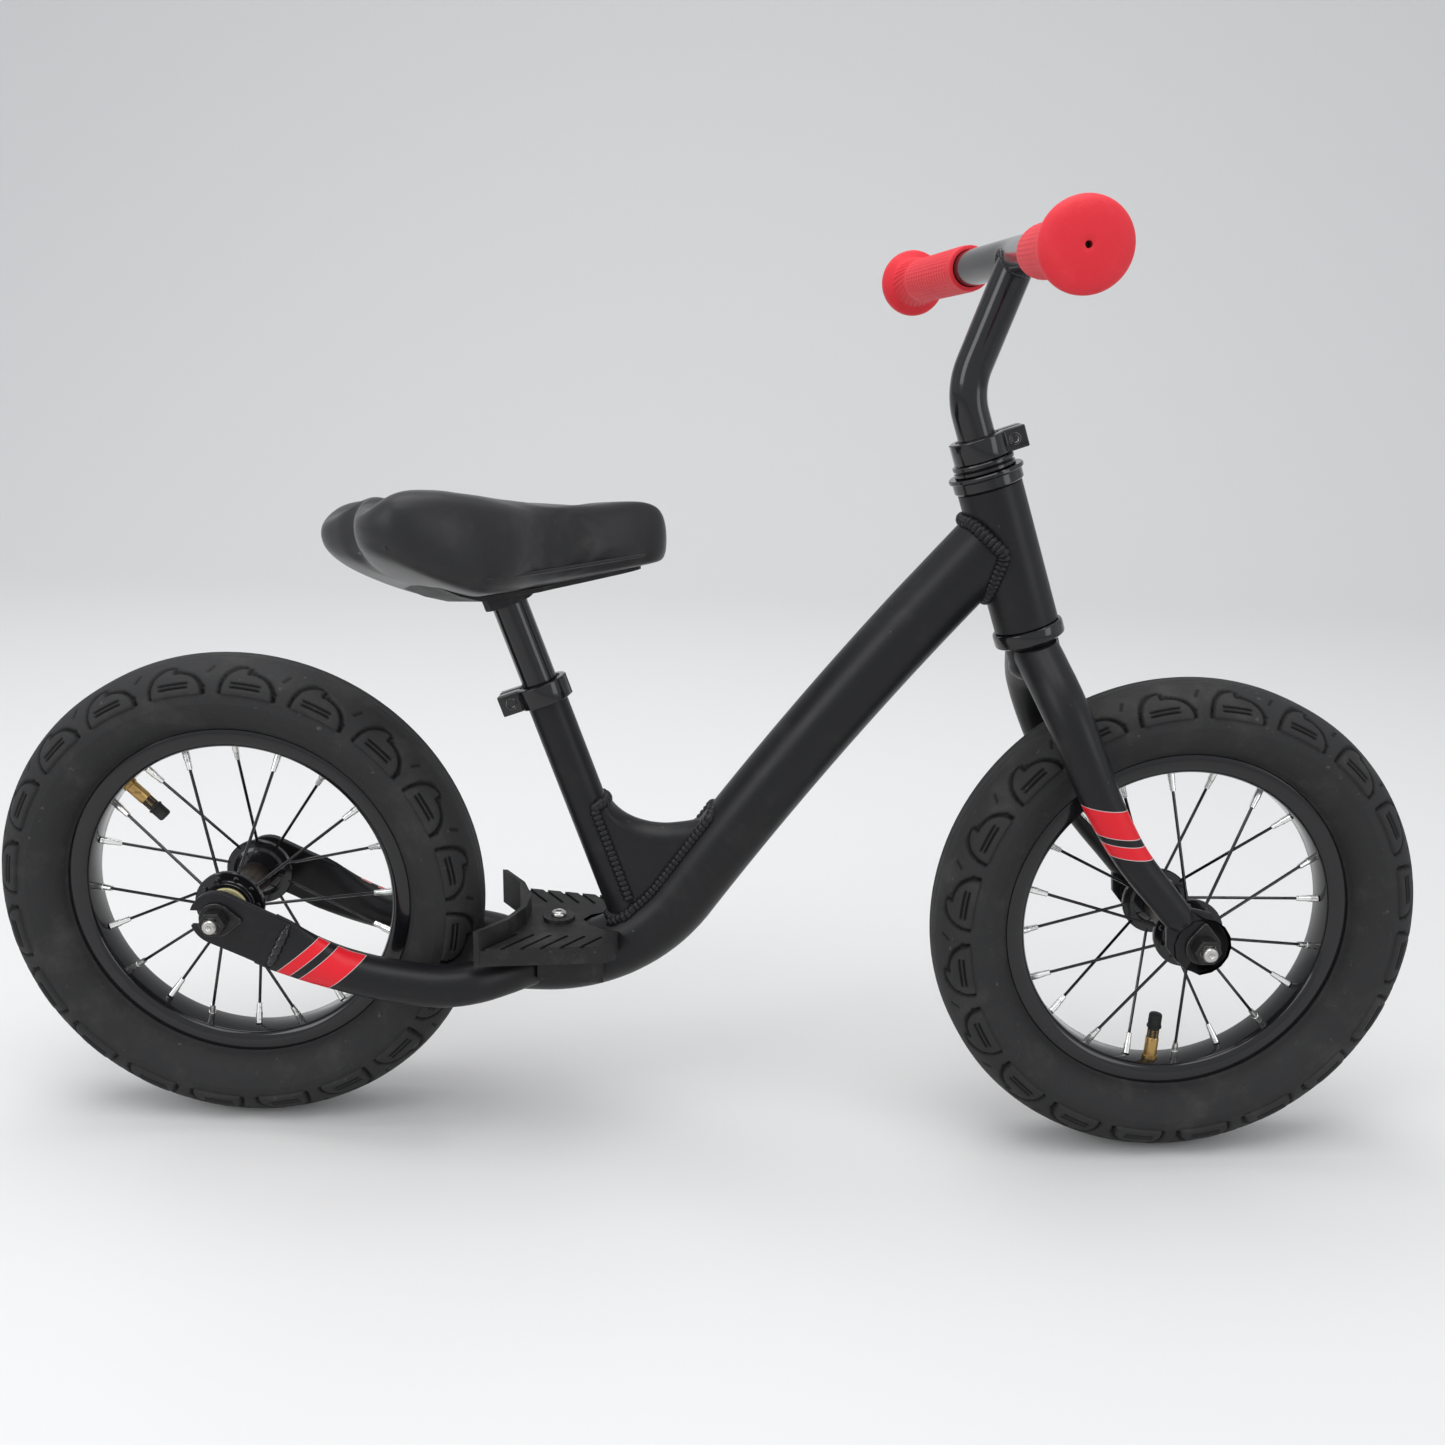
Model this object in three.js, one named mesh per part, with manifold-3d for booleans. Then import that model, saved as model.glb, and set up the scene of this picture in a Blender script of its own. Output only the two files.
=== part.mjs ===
// A child's balance bike: welded frame, two laced spoke wheels, unicrown fork, swept T handlebar,
// padded saddle and a moulded footrest. Millimetres and degrees, +X forward, +Y left, +Z up.
import * as THREE from 'three';
import { mergeVertices } from 'three/addons/utils/BufferGeometryUtils.js';
import Module from 'manifold-3d';

// Layout of the whole bike
const wheelbase = 603;
const headAngle = 71.3;
const forkRake = 42;
const seatAngle = 69.7;
const steeringTurn = 7;
const saddleTurn = 32;
const fitGap = 0.3;
const cutOverrun = 5;

// How many sides round pieces have
const treadPitches = 20;
const wheelSides = 2 * treadPitches;
const innerTubeSides = treadPitches;
const tubeSides = 16;
const boreSides = 6;
const smallSides = 12;
const boltSides = 8;
const spokeSides = 4;

// Tyre
const tyreRadius = 157.5;
const tyreWidth = 58;
const tyreTreadWall = 4.8;
const tyreSideWall = 4.2;
const treadDip = 1.7;
const treadDipShares = [0.15, 0.45];
const beadWidth = 2.1;
const beadDepth = 7.5;
const tyreOutlineShares = [[0, 0], [0.05, 0.48], [0.26, 0.87], [0.6, 1], [0.96, 0.62]];
const tyreLiningShares = [[0.93, 0.42], [0.6, 1], [0.02, 0.42]];
const innerTubeShares = [[0.85, 0.28], [0.6, 0.86], [0.03, 0.4]];

// Rim, inner tube and valve
const rimRadius = 111.5;
const rimWidth = 27;
const rimDepth = 12.3;
const rimWall = 2;
const rimLip = 1.6;
const rimTaper = 2.2;
const valveRadius = 4;
const valveCapBevel = 1.4;
const valveLength = 21;
const valveCapRadius = 4.3;
const valveCapLength = 10;
const rearValveTurn = -46;
const frontValveTurn = 183;

// Hub, spokes and wheel bearings
const hubWidth = 68;
const hubFlangeRadius = 22.3;
const hubFlangeSpacing = 57;
const hubFlangeThickness = 3;
const hubBarrelRadius = 10.5;
const hubShoulderRadius = 16.5;
const hubShoulderLength = 8;
const hubBore = 7.6;
const hubBallRadius = 13.1;
const hubCupDepth = 8;
const hubCupWall = 2;
const spokeCount = 20;
const spokeCircleRadius = 18.3;
const spokeRadius = 1;
const spokeRimOffset = 2.5;
const nippleRadius = 2.1;
const nippleLength = 12;
const ballRingWidth = 4.4;
const dustRingWidth = 2.4;
const dustRingLip = 0.9;

// Axles and what is on them
const axleRadius = 4.75;
const axleLength = 134;
const axleDimple = 1.6;
const coneRadius = 8.6;
const coneTip = 6.6;
const coneFlangeRadius = 9.6;
const coneFlangeWidth = 5.4;
const locknutRadius = 9.9;
const locknutWidth = 3.4;
const axleNutWidth = 15;
const axleNutHeight = 8.4;
const nutChamfer = 1;
const washerRadius = 10.5;
const washerThickness = 1.8;
const washerTabReach = 16;
const washerTabWidth = 8;
const dropoutSpacing = 95;
const dropoutThickness = 5;
const dropoutRadius = 17.6;

// Head tube and headset
const headTubeLength = 88;
const headTubeRadius = 19.5;
const headTubeBore = 17;
const cupDepth = 8;
const cupWall = 2.6;
const cupFloor = 1.3;
const upperCupHeight = 9.7;
const upperCupRadius = 21;
const upperFlangeRadius = 22.6;
const upperFlangeHeight = 2.8;
const lowerCupHeight = 9.4;
const lowerCupRadius = 21.6;
const headBearingHeight = 5;
const raceRadius = 14.6;
const raceFlangeRadius = 16.4;
const topRingRadius = 18.5;
const topRingHeight = 6.4;
const topRingGroove = 1.4;

// Fork
const axleToHeadTube = 215.2;
const steererRadius = 12.7;
const steererSlitLength = 20;
const neckRadius = 16.5;
const neckTopDrop = 9.8;
const neckHeight = 14;
const forkLegRadius = 14.3;
const forkLegWall = 2;
const forkLegSpread = 50;
const forkLegEndAbove = 18.2;
const forkLegEndBehind = 7.5;
const forkTongueLap = 4.3;
const forkTongueWidth = 19;
const forkLegShares = [
  [0, 0.1, 0.076], [0, 0.24, 0.098], [0, 0.42, 0.136], [0.01, 0.67, 0.2], [0.04, 0.86, 0.293], [0.09, 0.95, 0.405],
  [0.18, 0.99, 0.555], [0.41, 1, 0.735], [0.77, 1, 0.9], [1, 1, 1],
];
const forkTaperShares = [[0, 1], [0.2, 0.98], [0.4, 0.9], [0.7, 0.74], [1, 0.67]];

// Clamps round the steerer and round the seat tube
const clampWall = 3.8;
const clampHeight = 13.2;
const clampEarReach = 10.7;
const clampEarWidth = 17;
const clampSlit = 2;
const clampBoltInset = 7.6;
const clampBoltRadius = 2.5;
const clampBoltHeadRadius = 3.9;
const clampBoltHeadHeight = 4;
const clampBoltSocket = 1.6;

// Handlebar and grips
const stemRadius = 11.1;
const stemBore = 9.4;
const stemInsert = 80;
const stemRise = 13;
const stemBendRadius = 45;
const stemBendAngle = 39;
const stemStraight = 65;
const barHalfLength = 193.5;
const barSweepAngle = 7;
const barBendReach = 14;
const gripInnerEnd = 80;
const gripRadius = 14;
const gripEndWall = 8;
const gripFlare = 16;
const gripNeckSwell = 2.6;
const gripKnobRadius = 22.6;
const gripKnobLength = 14;
const gripKnobDome = 1.5;
const gripAirHole = 1.75;

// Main tube of the frame
const mainTubeRadius = 21.5;
const mainTubeWall = 2.4;
const mainTubeHeight = 115.5;
const mainTubeRearEnd = 172;
const mainTubeBendStart = 195;
const mainTubeBendRadius = 112;
const mainTubeBendAngle = 55.5;
const mainTubeHeadJoin = 60;
const mainTubeHeadOffset = 10;

// Seat tube, seat post and gusset
const seatTubeRadius = 12.8;
const seatTubeTop = 302.5;
const seatTubeTopForward = 195.5;
const seatTubeSlit = 22;
const seatPostRadius = 11.1;
const seatPostBore = 9.4;
const seatPostInsert = 105;
const gussetHalfWidth = 11.6;
const gussetRound = 5;
const gussetSeatRise = 95.4;
const gussetDipReach = 18.4;
const gussetDipRise = 76.9;
const gussetTipReach = 60.4;
const gussetTipRise = 89.4;

// Chainstays
const stayRadius = 13.5;
const stayWall = 2;
const stayRearForward = 29;
const stayRearHeight = 144.5;
const stayFrontForward = 197;
const stayLowSink = 1;
const stayPathShares = [
  [0, 1, 1], [0.17, 0.98, 0.55], [0.36, 0.96, 0.22], [0.53, 0.94, 0.05], [0.66, 0.9, -0.02], [0.77, 0.76, -0.02],
  [0.86, 0.53, 0], [0.93, 0.3, 0.01], [1, 0.1, 0.02],
];
const stayCrimpShares = [[0, 0.26, 1.4], [0.05, 0.3, 1.38], [0.16, 0.62, 1.18], [0.28, 1, 1], [1, 1, 1]];

// Footrest
const footrestRearForward = 160;
const footrestFrontBehindSeat = 7.5;
const footrestRearWidth = 104;
const footrestFrontWidth = 76;
const footrestCorner = 9;
const footrestDeckRise = 27.5;
const footrestDeck = 12;
const footrestSkirtWidth = 53;
const footrestSkirtSink = 4.5;
const footrestSkirtShare = 0.41;
const footrestLipHeight = 12;
const footrestLipThickness = 3.4;
const footrestLipBow = 24;
const footrestNotchWidth = 32;
const footrestNotchDepth = 20;
const footrestGrooveCount = 6;
const footrestGrooveWidth = 2.4;
const footrestGrooveDepth = 1.5;
const footrestGrooveAngle = 35;
const footrestBossRadius = 10.5;
const footrestBossHeight = 2.6;
const footrestBoltShare = 0.53;
const footrestBoltRadius = 2.9;
const footrestBoltLength = 16;
const footrestBoltHeadRadius = 5;
const footrestBoltHeadHeight = 2.6;

// Saddle, measured from the point on the post's axis that its pan is set to
const saddleHeight = 370;
const saddleNose = 114;
const saddleTail = 96.5;
const saddleHalfWidth = 70;
const saddleCrown = 47;
const saddleTrough = 8;
const saddleSkirtDrop = 13;
const saddleSkirtBack = 28;
const saddleTailRise = 28;
const saddleNoseRise = 20;
const panThickness = 3.2;
const panSocketRadius = 15.5;
const panSocketDrop = 19;
const panSocketRise = 6;
const panSocketRoof = 4;
const saddleTailShares = [[0.88, 0], [0.96, 0.29], [1, 0.6], [0.93, 0.86], [0.78, 1], [0.43, 0.98], [0.12, 0.8]];
const saddleNoseShares = [[0.16, 0.51], [0.44, 0.35], [0.75, 0.29], [0.93, 0.2], [1, 0]];
const saddleTopShares = [[-1, 0.66], [-0.78, 1], [-0.4, 0.98], [0, 0.88], [0.4, 0.87], [0.75, 0.93], [0.93, 0.84], [1, 0.62]];
const saddleSpineShares = [-0.45, 0.8];
const saddleLayerShares = [
  [0.34, 0, 0], [0.12, 0.28, 0], [0, 0.55, 0], [0.03, 0.76, 0], [0.13, 0.92, 0], [0.34, 1, 0.2], [0.6, 1, 0.7], [0.86, 1, 1],
];
const panInsetShare = 0.4;

const radians = THREE.MathUtils.degToRad;
const point = (x, y, z) => new THREE.Vector3(x, y, z);
const sides = { left: 1, right: -1 };

const satinBlack = { color: '#1d1e20', roughness: 0.5, metalness: 0.3 };
const glossBlack = { color: '#0c0c0d', roughness: 0.2, metalness: 0.5 };
const plasticBlack = { color: '#26262a', roughness: 0.7, metalness: 0 };
const vinylBlack = { color: '#232325', roughness: 0.45, metalness: 0 };
const rubberBlack = { color: '#2b2b2c', roughness: 0.8, metalness: 0 };
const gripRed = { color: '#d3242f', roughness: 0.55, metalness: 0 };
const steel = { color: '#8d8f92', roughness: 0.3, metalness: 0.9 };
const darkSteel = { color: '#3a352f', roughness: 0.4, metalness: 0.7 };
const sealCream = { color: '#c9c08a', roughness: 0.6, metalness: 0 };

const wasm = await Module();
wasm.setup();

// Makes a solid with outward faces from any closed geometry
function solidOf(geometry) {
  const bare = new THREE.BufferGeometry();
  bare.setAttribute('position', geometry.getAttribute('position'));
  bare.setIndex(geometry.getIndex());
  const merged = mergeVertices(bare);
  const corners = merged.getAttribute('position');
  const corner = (i) => new THREE.Vector3().fromBufferAttribute(corners, i);
  const index = merged.getIndex().array;
  const triangles = [];
  let volume = 0;
  for (let i = 0; i < index.length; i += 3) {
    const [a, b, c] = [index[i], index[i + 1], index[i + 2]];
    if (a !== b && b !== c && c !== a) {
      triangles.push(a, b, c);
      volume += corner(a).dot(corner(b).cross(corner(c)));
    }
  }
  if (volume < 0) triangles.reverse();
  const vertProperties = new Float32Array(corners.array);
  const triVerts = new Uint32Array(triangles);
  return new wasm.Manifold(new wasm.Mesh({ numProp: 3, vertProperties, triVerts }));
}

function geometryOf(solid) {
  const { vertProperties, triVerts } = solid.getMesh();
  const geometry = new THREE.BufferGeometry();
  geometry.setAttribute('position', new THREE.BufferAttribute(vertProperties, 3));
  geometry.setIndex(new THREE.BufferAttribute(triVerts, 1));
  geometry.computeVertexNormals();
  return geometry;
}

function joined(...geometries) {
  return geometries.map(solidOf).reduce((whole, next) => whole.add(next));
}

function cut(solid, ...geometries) {
  return geometries.map(solidOf).reduce((rest, cutter) => rest.subtract(cutter), solid);
}

function addPart(parent, name, solid, finish) {
  const mesh = new THREE.Mesh(geometryOf(solid), new THREE.MeshStandardMaterial(finish));
  mesh.name = name;
  parent.add(mesh);
}

// The value at a place in a table of [place, value, ...], straight between its rows
function follow(table, place, column = 1) {
  const next = table.findIndex((row) => row[0] >= place);
  if (next < 1) return (next === 0 ? table[0] : table[table.length - 1])[column];
  const [before, after] = [table[next - 1], table[next]];
  return THREE.MathUtils.mapLinear(place, before[0], after[0], before[column], after[column]);
}

// A profile of [radius, place] points turned about Y, the way wheels, axles and grips lie
function turnedAcross(profile, sideCount) {
  return new THREE.LatheGeometry(profile.map(([radius, place]) => new THREE.Vector2(radius, place)), sideCount);
}

// The same turned about Z, the way tubes that stand up lie
function turnedUp(profile, sideCount) {
  return turnedAcross(profile, sideCount).rotateX(Math.PI / 2);
}

function ringProfile(inner, outer, from, to) {
  return [[inner, from], [outer, from], [outer, to], [inner, to], [inner, from]];
}

// A closed profile from its half on the left of the wheel's middle plane
function mirroredProfile(half) {
  const other = half.filter(([, place]) => place > 0).map(([radius, place]) => [radius, -place]);
  return [...half, ...other.reverse(), half[0]];
}

function bar(radius, from, to, sideCount) {
  const along = to.clone().sub(from);
  const geometry = new THREE.CylinderGeometry(radius, radius, along.length(), sideCount);
  geometry.applyQuaternion(new THREE.Quaternion().setFromUnitVectors(point(0, 1, 0), along.normalize()));
  const middle = from.clone().lerp(to, 1 / 2);
  return geometry.translate(middle.x, middle.y, middle.z);
}

// The corners of a bore stand back so that its flats clear the round piece in it, however that turns
const clearOf = (radius, sideCount) => (radius + fitGap) / Math.cos(Math.PI / sideCount);

function hole(pieceRadius, from, to, sideCount) {
  return bar(clearOf(pieceRadius, sideCount), from, to, sideCount);
}

function box(from, to) {
  const size = to.clone().sub(from);
  const middle = from.clone().lerp(to, 1 / 2);
  return new THREE.BoxGeometry(size.x, size.y, size.z).translate(middle.x, middle.y, middle.z);
}

// A round section carried along a path
function swept(path, radius, sideCount, steps) {
  const corners = [];
  for (let i = 0; i < sideCount; i += 1) {
    const turn = (2 * Math.PI * i) / sideCount;
    corners.push(new THREE.Vector2(radius * Math.cos(turn), radius * Math.sin(turn)));
  }
  return new THREE.ExtrudeGeometry(new THREE.Shape(corners), { extrudePath: path, steps });
}

// A skin over rings of equal counts. The two halves of each end ring are zipped together to close it.
function lofted(rings) {
  const count = rings[0].length;
  const last = (rings.length - 1) * count;
  const faces = [];
  for (let first = 0; first < last; first += count) {
    for (let i = 0; i < count; i += 1) {
      const [a, b] = [first + i, first + ((i + 1) % count)];
      faces.push(a, b, b + count, a, b + count, a + count);
    }
  }
  for (let a = 0; a < count / 2; a += 1) {
    const [b, c, d] = [a + 1, count - a - 1, (count - a) % count];
    faces.push(a, c, b, a, d, c, last + a, last + b, last + c, last + a, last + c, last + d);
  }
  return new THREE.BufferGeometry().setFromPoints(rings.flat()).setIndex(faces);
}

// An oval section whose half-axes, across and upright, change along a path
function taperedSweep(path, halfAxesAt, sideCount, steps) {
  const rings = [];
  for (let step = 0; step <= steps; step += 1) {
    const share = step / steps;
    const along = path.getTangentAt(share);
    const across = point(0, 1, 0).addScaledVector(along, -along.y).normalize();
    const upright = along.clone().cross(across);
    const [halfAcross, halfUpright] = halfAxesAt(share);
    const ring = [];
    for (let i = 0; i < sideCount; i += 1) {
      const turn = (2 * Math.PI * i) / sideCount;
      const corner = path.getPointAt(share).addScaledVector(across, halfAcross * Math.cos(turn));
      ring.push(corner.addScaledVector(upright, halfUpright * Math.sin(turn)));
    }
    rings.push(ring);
  }
  return lofted(rings);
}

// A flat outline given its height
function plateUp(shape, fromZ, toZ) {
  const geometry = new THREE.ExtrudeGeometry(shape, { depth: toZ - fromZ, bevelEnabled: false, curveSegments: 5 });
  return geometry.translate(0, 0, fromZ);
}

// An arc in the X-Z plane that starts level, heading forwards, and turns up
class RisingBend extends THREE.Curve {
  constructor(start, radius, turn) {
    super();
    Object.assign(this, { start, radius, turn });
  }

  getPoint(share, target = new THREE.Vector3()) {
    const angle = this.turn * share;
    target.set(this.radius * Math.sin(angle), 0, this.radius * (1 - Math.cos(angle)));
    return target.add(this.start);
  }
}

// The same arc for a tube that starts upright and turns forwards
class LeaningBend extends RisingBend {
  getPoint(share, target = new THREE.Vector3()) {
    const angle = this.turn * share;
    target.set(this.radius * (1 - Math.cos(angle)), 0, this.radius * Math.sin(angle));
    return target.add(this.start);
  }
}

const bike = new THREE.Group();

// Places along the steering axis, from the foot of the head tube
const headTilt = radians(90 - headAngle);
const steeringForward = point(Math.cos(headTilt), 0, Math.sin(headTilt));
const steeringUp = point(-Math.sin(headTilt), 0, Math.cos(headTilt));
const headFoot = point(wheelbase, 0, tyreRadius)
  .addScaledVector(steeringForward, -forkRake)
  .addScaledVector(steeringUp, axleToHeadTube);
const neckTop = -neckTopDrop;
const onSteering = (up) => headFoot.clone().addScaledVector(steeringUp, up);

const headGroup = new THREE.Group();
headGroup.position.copy(headFoot);
headGroup.rotation.y = -headTilt;
const steeringGroup = new THREE.Group();
steeringGroup.rotation.z = radians(steeringTurn);
headGroup.add(steeringGroup);
bike.add(headGroup);

// Places along the seat tube, from its top. Its foot is where its axis meets the middle of the bent main tube.
const seatTilt = radians(90 - seatAngle);
const seatUp = point(-Math.sin(seatTilt), 0, Math.cos(seatTilt));
const seatTop = point(seatTubeTopForward, 0, seatTubeTop);
const onSeat = (up) => seatTop.clone().addScaledVector(seatUp, up);
const bendCentre = point(mainTubeBendStart, 0, mainTubeHeight + mainTubeBendRadius);
const overBend = seatTop.clone().sub(bendCentre);
const alongSeat = overBend.dot(seatUp);
const seatTubeFoot = -alongSeat - Math.sqrt(alongSeat ** 2 - overBend.lengthSq() + mainTubeBendRadius ** 2);
const seatFoot = onSeat(seatTubeFoot);
const seatAxisAt = (height) => seatTop.x + (seatTubeTop - height) * Math.tan(seatTilt);
const footrestDeckTop = mainTubeHeight + footrestDeckRise;
const footrestFront = seatAxisAt(footrestDeckTop) - footrestFrontBehindSeat;
const alongFootrest = (share) => THREE.MathUtils.lerp(footrestRearForward, footrestFront, share);
const footrestBoltForward = alongFootrest(footrestBoltShare);
const saddleUp = (saddleHeight - seatTubeTop) / Math.cos(seatTilt);

const seatGroup = new THREE.Group();
seatGroup.position.copy(seatTop);
seatGroup.rotation.y = -seatTilt;
bike.add(seatGroup);

// The main tube: level under the footrest, one bend, then a long easy rise to the head tube
const bendTurn = radians(mainTubeBendAngle);
const bendStart = point(mainTubeBendStart, 0, mainTubeHeight);
const bend = new RisingBend(bendStart, mainTubeBendRadius, bendTurn);
const bendEnd = bend.getPoint(1);
const headJoin = onSteering(mainTubeHeadJoin);
const riseLength = headJoin.distanceTo(bendEnd);
const riseControl = bendEnd.clone().add(point(Math.cos(bendTurn), 0, Math.sin(bendTurn)).multiplyScalar(riseLength / 2));
const riseStop = headJoin.clone().addScaledVector(headJoin.clone().sub(riseControl).normalize(), -mainTubeHeadOffset);

function mainTubePath(rearEnd, frontEnd) {
  const path = new THREE.CurvePath();
  path.add(new THREE.LineCurve3(point(rearEnd, 0, mainTubeHeight), bendStart));
  path.add(bend);
  path.add(new THREE.QuadraticBezierCurve3(bendEnd, riseControl, frontEnd));
  return path;
}

function mainTubeBody(extra) {
  return swept(mainTubePath(mainTubeRearEnd - extra, riseStop), mainTubeRadius + extra, tubeSides, 10);
}

function stayPath(side) {
  const length = stayFrontForward - stayRearForward;
  const spread = (dropoutSpacing + dropoutThickness) / 2;
  const low = mainTubeHeight - stayLowSink;
  const rise = stayRearHeight - low;
  const points = stayPathShares.map(([along, across, up]) => (
    point(stayRearForward + along * length, side * across * spread, low + up * rise)));
  return new THREE.CatmullRomCurve3(points);
}

function stayBody(side, extra, sideCount, steps) {
  const halfAxes = (share) => [follow(stayCrimpShares, share), follow(stayCrimpShares, share, 2)]
    .map((axisShare) => axisShare * stayRadius + extra);
  return taperedSweep(stayPath(side), halfAxes, sideCount, steps);
}

function addFrameTubes() {
  const headTube = solidOf(turnedUp(ringProfile(headTubeBore, headTubeRadius, 0, headTubeLength), tubeSides));
  addPart(headGroup, 'head_tube', headTube, satinBlack);

  const headTubeSpace = hole(headTubeRadius, onSteering(-cutOverrun), onSteering(headTubeLength + cutOverrun), tubeSides);
  const mainBore = swept(mainTubePath(mainTubeRearEnd + mainTubeWall, headJoin), mainTubeRadius - mainTubeWall, boreSides, 8);
  const boltTop = point(footrestBoltForward, 0, footrestDeckTop + footrestBossHeight);
  const boltFoot = point(footrestBoltForward, 0, mainTubeHeight);
  const boltHole = hole(footrestBoltRadius, boltFoot, boltTop, boltSides);
  const cupSpace = hole(lowerCupRadius, onSteering(neckTop - neckHeight), onSteering(0), tubeSides);
  const mainTube = cut(solidOf(mainTubeBody(0)), mainBore, headTubeSpace, cupSpace, boltHole);
  addPart(bike, 'main_tube', mainTube, satinBlack);

  const seatTube = turnedUp(ringProfile(seatPostRadius + fitGap, seatTubeRadius, seatTubeFoot, 0), tubeSides);
  const slitHalf = clampSlit / 2;
  const slit = box(point(-seatTubeRadius - cutOverrun, -slitHalf, -seatTubeSlit), point(0, slitHalf, cutOverrun));
  const placed = (geometry) => geometry.rotateY(-seatTilt).translate(seatTop.x, seatTop.y, seatTop.z);
  addPart(bike, 'seat_tube', cut(solidOf(placed(seatTube)), placed(slit), mainTubeBody(fitGap)), satinBlack);

  for (const [name, side] of Object.entries(sides)) {
    const bore = stayBody(side, -stayWall, boreSides, 7);
    const stay = cut(solidOf(stayBody(side, 0, smallSides, 10)), bore, mainTubeBody(fitGap));
    addPart(bike, `chainstay_${name}`, stay, satinBlack);
  }
}

// The gusset is a pressed web with rolled edges, welded between the seat tube and the main tube
function addGusset() {
  const atFoot = (reach, rise) => point(seatFoot.x + reach, 0, seatFoot.z + rise - gussetRound);
  const dip = atFoot(gussetDipReach, gussetDipRise);
  const tip = atFoot(gussetTipReach, gussetTipRise);
  const seatEdge = atFoot(0, gussetSeatRise).z;
  const outline = new THREE.Shape();
  outline.moveTo(seatFoot.x, seatFoot.z);
  outline.lineTo(seatAxisAt(seatEdge), seatEdge);
  outline.lineTo(seatAxisAt(seatEdge) + seatTubeRadius, seatEdge);
  outline.quadraticCurveTo(seatAxisAt(dip.z) + seatTubeRadius, dip.z, dip.x, dip.z);
  outline.quadraticCurveTo(tip.x - mainTubeRadius / 2, dip.z, tip.x, tip.z);
  outline.lineTo(bendEnd.x, bendEnd.z);
  const core = gussetHalfWidth - gussetRound;
  const rolled = {
    depth: 2 * core, bevelThickness: gussetRound, bevelSize: gussetRound, bevelSegments: 3, curveSegments: 5,
  };
  const web = new THREE.ExtrudeGeometry(outline, rolled).rotateX(Math.PI / 2).translate(0, core, 0);
  const seatTubeSpace = hole(seatTubeRadius, onSeat(seatTubeFoot - cutOverrun), onSeat(0), tubeSides);
  addPart(bike, 'seat_gusset', cut(solidOf(web), seatTubeSpace, mainTubeBody(fitGap)), satinBlack);
}

// A dropout: a round plate about the axle with a tongue to its tube and a slot that the axle slides in
function dropout(side, centre, tongueAngle, tongueLength, tongueWidth, slotAngle) {
  const inner = (side * dropoutSpacing) / 2;
  const [fromY, toY] = [inner, inner + side * dropoutThickness].sort((a, b) => a - b);
  const disc = bar(dropoutRadius, point(0, fromY, 0), point(0, toY, 0), tubeSides);
  const tongue = box(point(0, fromY, -tongueWidth / 2), point(tongueLength, toY, tongueWidth / 2));
  const slotHalf = axleRadius + fitGap;
  const slotEnd = hole(axleRadius, point(0, fromY - cutOverrun, 0), point(0, toY + cutOverrun, 0), smallSides);
  const slotCorner = point(dropoutRadius + cutOverrun, toY + cutOverrun, slotHalf);
  const slot = box(point(0, fromY - cutOverrun, -slotHalf), slotCorner).rotateY(-radians(slotAngle));
  const plate = cut(joined(disc, tongue.rotateY(-radians(tongueAngle))), slotEnd, slot);
  return geometryOf(plate).translate(centre.x, centre.y, centre.z);
}

function addRearDropouts() {
  const toStay = new THREE.Vector2(stayRearForward, stayRearHeight - tyreRadius);
  const tongueAngle = THREE.MathUtils.radToDeg(toStay.angle());
  const tongueLength = toStay.length() + stayRadius;
  for (const [name, side] of Object.entries(sides)) {
    const plate = dropout(side, point(0, 0, tyreRadius), tongueAngle, tongueLength, 2 * dropoutRadius, 180);
    const crimp = stayBody(side, fitGap, smallSides, 10);
    addPart(bike, `rear_dropout_${name}`, cut(solidOf(plate), crimp), satinBlack);
  }
}

// The outline of a caged ring of balls, drawn in at its corners as the balls are round
function ballRing(inner, outer, from, height) {
  const [middle, bulge] = [(inner + outer) / 2, height / 4];
  return [
    [inner, from + bulge], [middle, from], [outer, from + bulge], [outer, from + height - bulge],
    [middle, from + height], [inner, from + height - bulge], [inner, from + bulge],
  ];
}

// Where the rings of balls of the headset stand, from the foot of the head tube
const upperBallSeat = headTubeLength + 2 * fitGap + cupFloor;
const lowerBallSeat = -2 * fitGap - cupFloor - headBearingHeight;

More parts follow.
